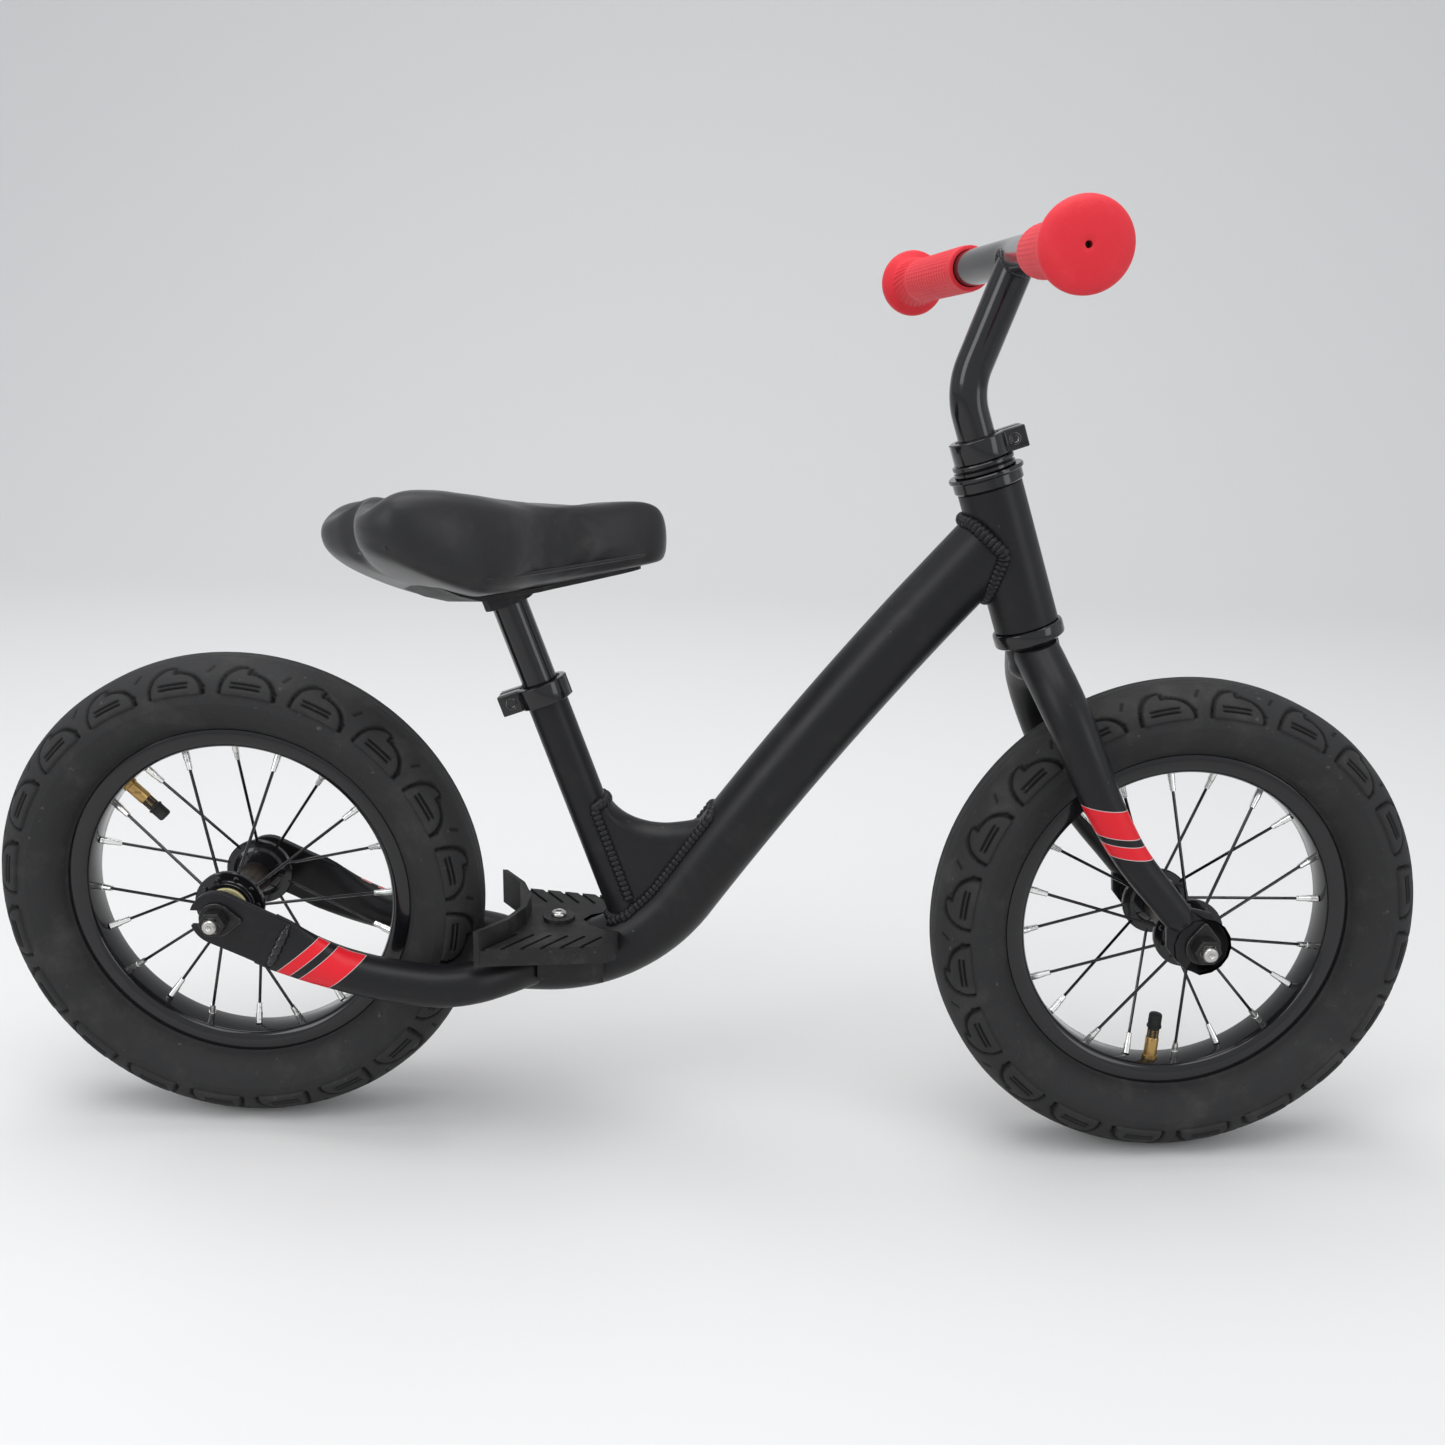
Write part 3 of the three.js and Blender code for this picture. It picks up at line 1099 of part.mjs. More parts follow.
// The front wheel stands upright, so its group undoes the head tube's tilt
const frontWheel = new THREE.Group();
frontWheel.position.set(forkRake, 0, -axleToHeadTube);
frontWheel.rotation.y = headTilt;
steeringGroup.add(frontWheel);
addWheel(frontWheel, 'front', frontValveTurn);
addAxle(frontWheel, 'front', 90);

// The part's origin is on the ground, under the middle of its bounding box
const bounds = new THREE.Box3().setFromObject(bike, true);
bike.position.set(-(bounds.min.x + bounds.max.x) / 2, -(bounds.min.y + bounds.max.y) / 2, -bounds.min.z);
const balanceBike = new THREE.Group();
balanceBike.add(bike);

export default balanceBike;
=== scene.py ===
import math

import bmesh
import bpy
import numpy as np
from mathutils import Matrix, Vector
from mathutils.geometry import interpolate_bezier


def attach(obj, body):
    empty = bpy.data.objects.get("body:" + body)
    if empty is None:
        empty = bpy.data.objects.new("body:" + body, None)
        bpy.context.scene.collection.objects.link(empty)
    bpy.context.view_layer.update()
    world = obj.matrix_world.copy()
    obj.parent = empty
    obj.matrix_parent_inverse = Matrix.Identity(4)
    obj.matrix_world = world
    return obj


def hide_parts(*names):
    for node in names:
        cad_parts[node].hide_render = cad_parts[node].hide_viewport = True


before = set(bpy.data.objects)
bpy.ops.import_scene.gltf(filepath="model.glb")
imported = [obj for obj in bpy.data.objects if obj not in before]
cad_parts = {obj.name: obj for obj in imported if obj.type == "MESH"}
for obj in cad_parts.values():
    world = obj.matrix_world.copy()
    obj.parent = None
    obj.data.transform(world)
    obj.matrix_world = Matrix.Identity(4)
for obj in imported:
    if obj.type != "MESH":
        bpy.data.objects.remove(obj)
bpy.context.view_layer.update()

# The studio: a pale floor that sweeps up into a wall behind the bike, one broad lamp overhead and two softer
# ones at the sides, and the camera standing where the photographer stood, on the bike's right side.
# Sizes in this file are millimetres from the floor under the rear axle, until a piece is placed.
WHOLE_BIKE = Matrix.Translation((-300.825, -4.696, 0))
TO_METRES = Matrix.Scale(0.001, 4)


def on_bike(x, y, z):
    return TO_METRES @ WHOLE_BIKE @ Vector((x, y, z))


def plain_material(name, colour, roughness):
    material = bpy.data.materials.new(name)
    material.use_nodes = True
    surface = material.node_tree.nodes["Principled BSDF"]
    surface.inputs["Base Color"].default_value = (*colour, 1)
    surface.inputs["Roughness"].default_value = roughness
    return material


def add_studio_sweep():
    shape = bmesh.new()
    corners = [shape.verts.new(co) for co in ((-9, -6, 0), (9, -6, 0), (9, 3.4, 0), (-9, 3.4, 0))]
    floor = shape.faces.new(corners)
    back = [edge for edge in floor.edges if all(corner.co.y > 0 for corner in edge.verts)]
    grown = bmesh.ops.extrude_edge_only(shape, edges=back)["geom"]
    bmesh.ops.translate(shape, vec=(0, 0, 6), verts=[g for g in grown if isinstance(g, bmesh.types.BMVert)])
    bmesh.ops.bevel(shape, geom=back, offset=1.6, offset_type="OFFSET", segments=24, profile=0.5, affect="EDGES",
                    material=-1)
    for face in shape.faces:
        face.smooth = True
    mesh = bpy.data.meshes.new("studio_sweep")
    shape.to_mesh(mesh)
    shape.free()
    sweep = bpy.data.objects.new("studio_sweep", mesh)
    bpy.context.scene.collection.objects.link(sweep)
    mesh.materials.append(plain_material("studio_paper", (0.66, 0.658, 0.65), 0.9))


def add_lamp(name, place, target, size, power):
    lamp = bpy.data.lights.new(name, "AREA")
    lamp.shape = "RECTANGLE"
    lamp.size, lamp.size_y = size
    lamp.energy = power
    obj = bpy.data.objects.new(name, lamp)
    obj.location = place
    obj.rotation_euler = (Vector(target) - Vector(place)).to_track_quat("-Z", "Y").to_euler()
    bpy.context.scene.collection.objects.link(obj)


add_studio_sweep()
add_lamp("overhead_lamp", (-0.25, -0.1, 2.3), (0, 0, 0.2), (2.6, 1.8), 41)
add_lamp("left_lamp", (-2.2, -1.7, 1.5), (0, 0, 0.3), (1.2, 1.6), 22)
add_lamp("right_lamp", (2.4, -1.5, 1.2), (0, 0, 0.3), (1.0, 1.6), 12)
world = bpy.data.worlds.new("studio_air")
world.use_nodes = True
world.node_tree.nodes["Background"].inputs["Color"].default_value = (0.93, 0.95, 1, 1)
world.node_tree.nodes["Background"].inputs["Strength"].default_value = 0.8
bpy.context.scene.world = world
bpy.context.scene.view_settings.view_transform = "Standard"


def add_camera():
    yaw, pitch, roll = -0.0311843, 0.2803478, 0.0222402
    ahead = Vector((math.sin(yaw) * math.cos(pitch), math.cos(yaw) * math.cos(pitch), -math.sin(pitch)))
    level = Vector((math.cos(yaw), -math.sin(yaw), 0))
    upright = level.cross(ahead)
    right = level * math.cos(roll) + upright * math.sin(roll)
    up = upright * math.cos(roll) - level * math.sin(roll)
    camera = bpy.data.objects.new("camera", bpy.data.cameras.new("camera"))
    camera.matrix_world = Matrix((right, up, -ahead)).transposed().to_4x4()
    camera.location = on_bike(338.16, -898.51, 538.52)
    camera.data.lens = 37.19
    camera.data.sensor_width = 36
    bpy.context.scene.collection.objects.link(camera)
    bpy.context.scene.camera = camera


add_camera()

# The main tube: one fat steel tube, level under the footrest, bent once and rising to the head tube, sprayed
# satin black after welding. It is a ring carried along the tube's centre line, open where it meets the head tube.
HEAD_TILT = math.radians(18.7)
HEAD_FOOT = Vector((494.221, 0, 347.874))
HEAD = WHOLE_BIKE @ Matrix.Translation(HEAD_FOOT) @ Matrix.Rotation(-HEAD_TILT, 4, "Y")
MAIN_RADIUS = 21.5
BEND_START = Vector((195, 0, 115.5))
BEND_RADIUS = 112
BEND_TURN = math.radians(55.5)


def on_head_axis(up):
    return HEAD_FOOT + Vector((-math.sin(HEAD_TILT), 0, math.cos(HEAD_TILT))) * up


def add_node(tree, kind, inputs, **settings):
    """Adds a shader node and hands back its outputs. Sockets among the inputs are linked, values are set."""
    node = tree.nodes.new("ShaderNode" + kind)
    for name, value in settings.items():
        setattr(node, name, value)
    for label, value in inputs.items():
        if isinstance(value, bpy.types.NodeSocket):
            tree.links.new(value, node.inputs[label])
        else:
            node.inputs[label].default_value = value
    return node.outputs


def start_group(name, numbers, outputs):
    """A new node group that takes a vector and some numbers, with its incoming and its outgoing sockets."""
    group = bpy.data.node_groups.new(name, "ShaderNodeTree")
    group.interface.new_socket("Vector", in_out="INPUT", socket_type="NodeSocketVector")
    for label, value in numbers.items():
        group.interface.new_socket(label, in_out="INPUT", socket_type="NodeSocketFloat").default_value = value
    for label, kind in outputs.items():
        group.interface.new_socket(label, in_out="OUTPUT", socket_type=kind)
    return group, group.nodes.new("NodeGroupInput").outputs, group.nodes.new("NodeGroupOutput").inputs


def make_surface_grain():
    """Small bumps, such as orange peel in paint or the skin of rubber, and a slow change of polish."""
    group, given, out = start_group(
        "surface_grain", {"Scale": 900, "Depth": 0.1, "Base Roughness": 0.4, "Roughness Change": 0.1},
        {"Roughness": "NodeSocketFloat", "Normal": "NodeSocketVector"})
    fine = add_node(group, "TexNoise", {"Vector": given["Vector"], "Scale": given["Scale"], "Detail": 3})
    slow = add_node(group, "TexNoise", {"Vector": given["Vector"], "Scale": 28, "Detail": 6})
    bump = add_node(group, "Bump", {"Height": fine["Fac"], "Strength": given["Depth"], "Distance": 0.0004})
    centred = add_node(group, "Math", {0: slow["Fac"], 1: 0.5}, operation="SUBTRACT")
    change = add_node(group, "Math", {0: centred[0], 1: given["Roughness Change"], 2: given["Base Roughness"]},
                      operation="MULTIPLY_ADD")
    group.links.new(bump["Normal"], out["Normal"])
    group.links.new(change[0], out["Roughness"])
    return group


def make_patches():
    """A mask of uneven patches, such as dust, scuffs or rub marks. More Cover leaves more of them."""
    group, given, out = start_group("patches", {"Scale": 20, "Cover": 0.4, "Softness": 0.2, "Strength": 0.5},
                                    {"Mask": "NodeSocketFloat"})
    noise = add_node(group, "TexNoise",
                     {"Vector": given["Vector"], "Scale": given["Scale"], "Detail": 9, "Roughness": 0.62})
    low = add_node(group, "Math", {0: 1, 1: given["Cover"]}, operation="SUBTRACT")
    high = add_node(group, "Math", {0: low[0], 1: given["Softness"]}, operation="ADD")
    ramp = add_node(group, "MapRange", {"Value": noise["Fac"], "From Min": low[0], "From Max": high[0],
                                        "To Max": given["Strength"]}, interpolation_type="SMOOTHSTEP")
    group.links.new(ramp["Result"], out["Mask"])
    return group


SURFACE_GRAIN = make_surface_grain()
PATCHES = make_patches()


def lay_over(material, mask, colour):
    """Mixes a colour over what the surface has so far, where a mask says."""
    tree = material.node_tree
    base = tree.nodes["Principled BSDF"].inputs["Base Color"]
    under = base.links[0].from_socket if base.is_linked else base.default_value
    mixed = add_node(tree, "Mix", {"Factor": mask, "A": under, "B": (*colour, 1)}, data_type="RGBA")
    tree.links.new(mixed["Result"], base)


def finish_of(name, colour, grain, patches, surface=()):
    """A material on object coordinates. Its grain has a scale, a depth, a roughness and the change of that. Each
    of its patches has a colour, a scale, a cover, a softness and a strength."""
    material = plain_material(name, colour, grain[2])
    tree = material.node_tree
    inputs = tree.nodes["Principled BSDF"].inputs
    for label, value in (("Specular IOR Level", 0.24), *surface):
        inputs[label].default_value = value
    place = add_node(tree, "TexCoord", {})["Object"]
    labels = "Vector", "Scale", "Depth", "Base Roughness", "Roughness Change"
    bumps = add_node(tree, "Group", dict(zip(labels, (place, *grain))), node_tree=SURFACE_GRAIN)
    tree.links.new(bumps["Roughness"], inputs["Roughness"])
    tree.links.new(bumps["Normal"], inputs["Normal"])
    labels = "Vector", "Scale", "Cover", "Softness", "Strength"
    for dust, *values in patches:
        mask = add_node(tree, "Group", dict(zip(labels, (place, *values))), node_tree=PATCHES)["Mask"]
        lay_over(material, mask, dust)
    return material


def satin_paint(name):
    return finish_of(name, (0.008, 0.008, 0.009), (1500, 0.12, 0.37, 0.16),
                     [((0.045, 0.043, 0.04), 55, 0.5, 0.3, 0.22), ((0.16, 0.155, 0.145), 260, 0.31, 0.05, 0.5)])


SATIN_BLACK = satin_paint("satin_black_paint")


def ring_place(point, along, halves=(1, 1), side=(0, 1, 0)):
    """The place of a ring at a point: square to along, with its first half-axis kept level."""
    along = Vector(along).normalized()
    first = (Vector(side) - along * along.dot(Vector(side))).normalized()
    second = along.cross(first)
    place = Matrix((first * halves[0], second * halves[1], along)).transposed().to_4x4()
    place.translation = point
    return place


def draw_tube(shape, places, sides, ends=True):
    """Extrudes a ring from place to place, and closes its ends."""
    ring = bmesh.ops.create_circle(shape, cap_ends=False, radius=1, segments=sides)["verts"]
    bmesh.ops.transform(shape, matrix=places[0], verts=ring)
    start = list({edge for corner in ring for edge in corner.link_edges})
    edges, before = start, places[0]
    for place in places[1:]:
        grown = bmesh.ops.extrude_edge_only(shape, edges=edges)["geom"]
        edges = [g for g in grown if isinstance(g, bmesh.types.BMEdge) and g.is_boundary]
        corners = [g for g in grown if isinstance(g, bmesh.types.BMVert)]
        bmesh.ops.transform(shape, matrix=place @ before.inverted(), verts=corners)
        before = place
    if ends:
        bmesh.ops.holes_fill(shape, edges=start, sides=0)
        bmesh.ops.holes_fill(shape, edges=edges, sides=0)


def coordinates(mesh):
    flat = np.empty(3 * len(mesh.vertices), np.float32)
    mesh.vertices.foreach_get("co", flat)
    return flat.reshape(-1, 3).astype(float)


def finished_mesh(name, shape, sharp=32, reshape=None):
    """Makes a smooth mesh of a shape drawn in millimetres. A reshape function may move its points."""
    bmesh.ops.remove_doubles(shape, verts=shape.verts, dist=0.003)
    bmesh.ops.recalc_face_normals(shape, faces=shape.faces)
    mesh = bpy.data.meshes.new(name)
    shape.to_mesh(mesh)
    shape.free()
    if reshape:
        mesh.vertices.foreach_set("co", reshape(coordinates(mesh)).astype(np.float32).ravel())
    mesh.shade_smooth()
    mesh.set_sharp_from_angle(angle=math.radians(sharp))
    return mesh


def place_piece(name, mesh, body, finish, at=WHOLE_BIKE, stands_for=()):
    """Puts a finished mesh in its place and lets it ride on its body."""
    mesh.name = name
    mesh.transform(TO_METRES @ at)
    mesh.materials.append(finish)
    obj = bpy.data.objects.new(name, mesh)
    bpy.context.scene.collection.objects.link(obj)
    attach(obj, body)
    if stands_for:
        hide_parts(*stands_for)
    return obj


def piece(name, shape, body, finish, at=WHOLE_BIKE, stands_for=(), sharp=32, reshape=None):
    return place_piece(name, finished_mesh(name, shape, sharp, reshape), body, finish, at, stands_for)


def drawn(draw, *values, **more):
    """A new shape with one thing drawn in it."""
    shape = bmesh.new()
    draw(shape, *values, **more)
    return shape


def main_tube_line():
    """Points of the main tube's centre line, each with the tube's direction."""
    line = [(Vector((172 + 23 * i / 3, 0, BEND_START.z)), Vector((1, 0, 0))) for i in range(3)]
    for i in range(41):
        turn = BEND_TURN * i / 40
        along = Vector((math.cos(turn), 0, math.sin(turn)))
        line.append((BEND_START + Vector((math.sin(turn), 0, 1 - math.cos(turn))) * BEND_RADIUS, along))
    end, along = line[-1]
    join = on_head_axis(60)
    control = end + along * ((join - end).length / 2)
    stop = join - (join - control).normalized() * 10
    for i in range(1, 41):
        share = i / 40
        point = end * (1 - share) ** 2 + control * 2 * share * (1 - share) + stop * share**2
        line.append((point, (control - end) * (1 - share) + (stop - control) * share))
    return line


def way_to_head(start, along, radius):
    """How far start is, along a line, from a cylinder round the head axis, or from where the line passes it."""
    axis = Vector((-math.sin(HEAD_TILT), 0, math.cos(HEAD_TILT)))
    over = start - HEAD_FOOT
    over -= axis * over.dot(axis)
    flat = along - axis * along.dot(axis)
    nearest = -over.dot(flat) / flat.length_squared
    miss = (over + flat * nearest).length
    return nearest - math.sqrt(max(0, radius**2 - miss**2)) / flat.length


MAIN_LINE = main_tube_line()
MAIN_BORE = 19.2
MAIN_SIDES = 64
MOUTH_RADIUS = 18.3
places = [ring_place(*spot, (MAIN_RADIUS, MAIN_RADIUS)) for spot in MAIN_LINE[:-8] + MAIN_LINE[-1:]]
places += [ring_place(*spot, (MAIN_BORE, MAIN_BORE)) for spot in (MAIN_LINE[-1], MAIN_LINE[-9])]
shape = drawn(draw_tube, places, MAIN_SIDES)
shape.verts.ensure_lookup_table()
along = MAIN_LINE[-1][1].normalized()
for corner in shape.verts[-3 * MAIN_SIDES:-MAIN_SIDES]:
    corner.co += along * min(0, way_to_head(corner.co, along, MOUTH_RADIUS))
piece("frame_main_tube", shape, "frame", SATIN_BLACK, stands_for=["main_tube"])

# The head tube, a short plain tube, and the wide weld that runs round it where the main tube meets it.
# The weld's stacked ripples are real ones: a thin ring whose thickness swells and shrinks along its line.
HEAD_RADIUS = 19.5


def turned(shape, profile, steps, axis="Y", share=1):
    """Turns a profile of (radius, place) points about the wheel axis, Y, or an upright axis, Z, by a share of a
    full turn."""
    upright = axis == "Z"
    corners = [shape.verts.new((radius, 0, place) if upright else (radius, place, 0)) for radius, place in profile]
    edges = [shape.edges.new(pair) for pair in zip(corners, corners[1:])]
    bmesh.ops.spin(shape, geom=corners + edges, cent=(0, 0, 0), axis=(0, 0, 1) if upright else (0, 1, 0),
                   dvec=(0, 0, 0), angle=2 * math.pi * share, steps=steps, use_merge=share == 1)


shape = drawn(turned, [(17, 0.6), (17.6, 0), (18.9, 0), (19.5, 0.6), (19.5, 87.4), (18.9, 88), (17.6, 88),
                       (17, 87.4), (17, 0.6)], 72, "Z")
piece("frame_head_tube", shape, "frame", SATIN_BLACK, HEAD, ["head_tube"])


def evenly(points, spacing, looped):
    """The same line with its points evenly spaced."""
    rows = np.array([*points, points[0]] if looped else points, float)
    reach = np.concatenate([[0], np.cumsum(np.linalg.norm(np.diff(rows, axis=0), axis=1))])
    count = max(8, round(reach[-1] / spacing))
    wanted = np.linspace(0, reach[-1], count + 1)
    return [Vector(row) for row in np.stack([np.interp(wanted, reach, rows[:, k]) for k in range(3)], axis=1)]


def draw_weld(shape, points, radius, looped=True, ripple=2.3):
    line = evenly(points, ripple / 6, looped)
    places, side = [], Vector((0.3, 1, 0.2))
    for i, point in enumerate(line):
        before = line[i - 1] if i else (line[-2] if looped else line[0])
        after = line[i + 1] if i + 1 < len(line) else (line[1] if looped else line[-1])
        along = (after - before).normalized()
        side = (side - along * along.dot(side)).normalized()
        swell = 0.8 + 0.24 * abs(math.cos(math.pi * i / 6))
        ease = 1 if looped else min(1, 0.25 + i / 9, 0.25 + (len(line) - 1 - i) / 9)
        places.append(ring_place(point, along, (radius * swell * ease, radius * swell * ease), side))
    draw_tube(shape, places, 12)


def head_weld_line():
    """Where rays along the main tube's skin meet the head tube, or pass it closest."""
    end, along = MAIN_LINE[-1]
    along = along.normalized()
    up = Vector((0, 1, 0)).cross(along)
    points = []
    for i in range(96):
        turn = 2 * math.pi * i / 96
        start = end + (Vector((0, 1, 0)) * math.cos(turn) + up * math.sin(turn)) * MAIN_RADIUS
        points.append(start + along * min(way_to_head(start, along, HEAD_RADIUS + 0.6), 1.5))
    for _ in range(3):
        points = [(points[i - 1] + point * 2 + points[(i + 1) % 96]) / 4 for i, point in enumerate(points)]
    return points


shape = drawn(draw_weld, head_weld_line(), 4.4, ripple=3.1)
piece("head_tube_weld", shape, "frame", SATIN_BLACK)

# The seat tube stands on the bend of the main tube, and the pressed gusset in the corner ahead of it is a
# dished web with rolled edges. Both are welded all round: the gusset along the seat tube and down the bend.
SEAT_TILT = math.radians(20.3)
SEAT_TOP = Vector((195.5, 0, 302.5))
SEAT = WHOLE_BIKE @ Matrix.Translation(SEAT_TOP) @ Matrix.Rotation(-SEAT_TILT, 4, "Y")
SEAT_RADIUS = 12.8
BEND_CENTRE = BEND_START + Vector((0, 0, BEND_RADIUS))


def on_seat_axis(up):
    return SEAT_TOP + Vector((-math.sin(SEAT_TILT), 0, math.cos(SEAT_TILT))) * up


def off_main_line(point):
    """How far a point near the bend lies from the main tube's centre line."""
    over = point - BEND_CENTRE
    return math.hypot(math.hypot(over.x, over.z) - BEND_RADIUS, over.y)


def seat_weld_line(reach):
    points = []
    forward = Vector((math.cos(SEAT_TILT), 0, math.sin(SEAT_TILT)))
    for i in range(64):
        turn = 2 * math.pi * i / 64
        offset = (forward * math.cos(turn) + Vector((0, 1, 0)) * math.sin(turn)) * reach
        low, high = -190, -80
        for _ in range(30):
            middle = (low + high) / 2
            if off_main_line(on_seat_axis(middle) + offset) > MAIN_RADIUS + 0.5:
                high = middle
            else:
                low = middle
        points.append(on_seat_axis(high) + offset)
    return points


shape = drawn(turned, [(11.5, -166), (12.8, -166), (12.8, -0.5), (12.3, 0), (11.9, 0), (11.5, -0.4), (11.5, -166)],
              48, "Z")
piece("frame_seat_tube", shape, "frame", SATIN_BLACK, SEAT, ["seat_tube"])

GUSSET_HALF = 11.6


def bend_side(turn, lift):
    """A point above the bend's centre line: turn along the bend and lift towards its centre."""
    return BEND_CENTRE + Vector((math.sin(turn), 0, -math.cos(turn))) * (BEND_RADIUS - lift)


def close_holes(shape):
    bmesh.ops.holes_fill(shape, edges=[edge for edge in shape.edges if edge.is_boundary], sides=0)


def gusset_top_line():
    seat_edge = 229.5
    rear = Vector((SEAT_TOP.x + (SEAT_TOP.z - seat_edge) * math.tan(SEAT_TILT) + 6, 0, seat_edge))
    dip = interpolate_bezier(Vector((rear.x + 10.5, 0, 226.5)), Vector((248, 0, 214.5)), Vector((262, 0, 210.8)),
                             Vector((277, 0, 211.3)), 12)
    return [rear, Vector((rear.x + 9, 0, 228)), *dip, Vector((290, 0, 213.2)), Vector((300, 0, 216)),
            Vector((309, 0, 220.5))]


def draw_skin(shape, across, along, place):
    """Bends a flat grid into a skin. place gives the point for two shares, each from 0 to 1."""
    for corner in bmesh.ops.create_grid(shape, x_segments=across, y_segments=along, size=1)["verts"]:
        corner.co = place((corner.co.x + 1) / 2, (corner.co.y + 1) / 2)


GUSSET_TOP = evenly(gusset_top_line(), 3.2, False)


def gusset_skin(across, along):
    """Up the near side, over the rolled top and down the far side, for each place along the top line."""
    far = along * (len(GUSSET_TOP) - 1)
    k = min(int(far), len(GUSSET_TOP) - 2)
    top = GUSSET_TOP[k].lerp(GUSSET_TOP[k + 1], far - k)
    foot = bend_side(BEND_TURN * (0.6 + 0.4 * along), 9)
    deep = GUSSET_HALF / (top - foot).length
    turn = math.pi * min(1, max(0, (across - 0.2) / 0.6))
    up = 1 - deep * (1 - math.sin(turn)) if 0.2 < across < 0.8 else (1 - deep) * 5 * min(across, 1 - across)
    bow = -math.cos(turn) * min(1, 25 * min(across, 1 - across))
    return foot.lerp(top, up) + Vector((0, bow * GUSSET_HALF, 0))


shape = drawn(draw_skin, 75, 44, gusset_skin)
bmesh.ops.remove_doubles(shape, verts=shape.verts, dist=0.003)
close_holes(shape)
piece("frame_gusset", shape, "frame", SATIN_BLACK, stands_for=["seat_gusset"])

BEND_WELD_LIFT = 18.6


def draw_gusset_weld(shape, side, half, bow, radius):
    """A weld along the gusset's left side, in a bow over its end, (forwards, up at once, up in the bow), and back
    along its right side. side holds the points of the side view."""
    x, z = side[-1]
    forwards, up, rise = bow
    turns = [math.pi * i / 8 for i in range(1, 8)]
    over = [Vector((x + forwards * math.sin(turn), GUSSET_HALF * math.cos(turn), z + up + rise * math.sin(turn)))
            for turn in turns]
    left = [Vector((x, half, z)) for x, z in side]
    right = [Vector((x, -half, z)) for x, z in side[::-1]]
    draw_weld(shape, left + over + right, radius, looped=False, ripple=3.6)


def clear_of_post(at):
    """Presses what would stand in the seat tube's bore, 12 mm wide from its axis, back into its wall."""
    along = np.array((-math.sin(SEAT_TILT), 0, math.cos(SEAT_TILT)))
    over = at - np.array(SEAT_TOP)
    over -= np.outer(over @ along, along)
    reach = np.linalg.norm(over, axis=1, keepdims=True)
    return at + over * (np.maximum(12 / np.maximum(reach, 0.001), 1) - 1)


shape = drawn(draw_weld, seat_weld_line(SEAT_RADIUS), 3.4, ripple=3.4)
up_seat = [Vector((on_seat_axis(up).x + 6, on_seat_axis(up).z)) for up in range(-152, -83, 4)]
up_bend = [bend_side(BEND_TURN * (0.5 + 0.5 * i / 14), BEND_WELD_LIFT).xz for i in range(15)]
up_bend += [(point + Vector((-along.z, 0, along.x)).normalized() * BEND_WELD_LIFT).xz
            for point, along in MAIN_LINE[46:51:2]]
draw_gusset_weld(shape, up_seat, GUSSET_HALF - 0.8, (6.4, 2.4, 0), 3.9)
draw_gusset_weld(shape, up_bend, GUSSET_HALF - 0.2, (3.2, 0, 5.5), 3.7)
piece("seat_tube_welds", shape, "frame", SATIN_BLACK, reshape=clear_of_post)

# The chainstays: two tubes that leave the main tube under the footrest, pass round the rear tyre and are
# crushed flat where the dropouts are welded in. Each carries a wide and a narrow red stripe outside.
STAY_RADIUS = 13.5
STAY_LINE = [(29, 50, 144.5), (57.6, 49, 131), (89.5, 48, 121.1), (118, 47, 116), (139.9, 45, 113.9),
             (158.4, 38, 113.9), (173.5, 26.5, 114.5), (185.2, 15, 114.8), (197, 5, 115.1)]
STAY_HALVES = [(0, 0.26, 1.4), (0.05, 0.3, 1.38), (0.16, 0.62, 1.18), (0.28, 1, 1), (1, 1, 1)]
SIGNAL_RED = (0.64, 0.012, 0.022)
THIN_OUTLINE = (0.5, 0.42, 0.42)


def smooth_line(points, per_span):
    """A smooth line through points, with its directions."""
    corners = [Vector(point) for point in points]
    line = []
    for i in range(len(corners) - 1):
        before = corners[max(0, i - 1)]
        after = corners[min(len(corners) - 1, i + 2)]
        knots = (corners[i], corners[i] + (corners[i + 1] - before) / 6, corners[i + 1] - (after - corners[i]) / 6,
                 corners[i + 1])
        span = interpolate_bezier(*knots, per_span + 1)
        line += span if i == len(corners) - 2 else span[:-1]
    directions = [(line[min(i + 1, len(line) - 1)] - line[max(i - 1, 0)]).normalized() for i in range(len(line))]
    return list(zip(line, directions))


def shares_along(line):
    """How far each point of a line is along it, from 0 to 1."""
    reach = np.concatenate([[0], np.cumsum([(b[0] - a[0]).length for a, b in zip(line, line[1:])])])
    return reach / reach[-1]


def follow(table, share, column):
    return float(np.interp(share, [row[0] for row in table], [row[column] for row in table]))


def striped_paint(name, bands, slope):
    """Satin paint with two red bands across a tube. A band lies between two slanted lines of the side view, on
    the side of the tube that faces away from the wheel, and has a hair-thin pale edge."""
    material = satin_paint(name)
    tree = material.node_tree
    view = add_node(tree, "Attribute", {}, attribute_name="side_view")["Vector"]
    parts = add_node(tree, "SeparateXYZ", {"Vector": view})
    slant = add_node(tree, "Math", {0: parts["X"], 1: slope, 2: parts["Y"]}, operation="MULTIPLY_ADD")[0]
    facing = add_node(tree, "Attribute", {}, attribute_name="outside")["Fac"]
    for grow, colour in ((0.45, THIN_OUTLINE), (0, SIGNAL_RED)):
        first, second = [
            add_node(tree, "Math", {0: slant, 1: (low + high) / 2, 2: (high - low) / 2 + grow}, operation="COMPARE")[0]
            for low, high in bands]
        both = add_node(tree, "Math", {0: first, 1: second}, operation="MAXIMUM")[0]
        edge = add_node(tree, "Math", {0: facing, 1: -grow / 14}, operation="GREATER_THAN")[0]
        lay_over(material, add_node(tree, "Math", {0: both, 1: edge}, operation="MULTIPLY")[0], colour)
    return material


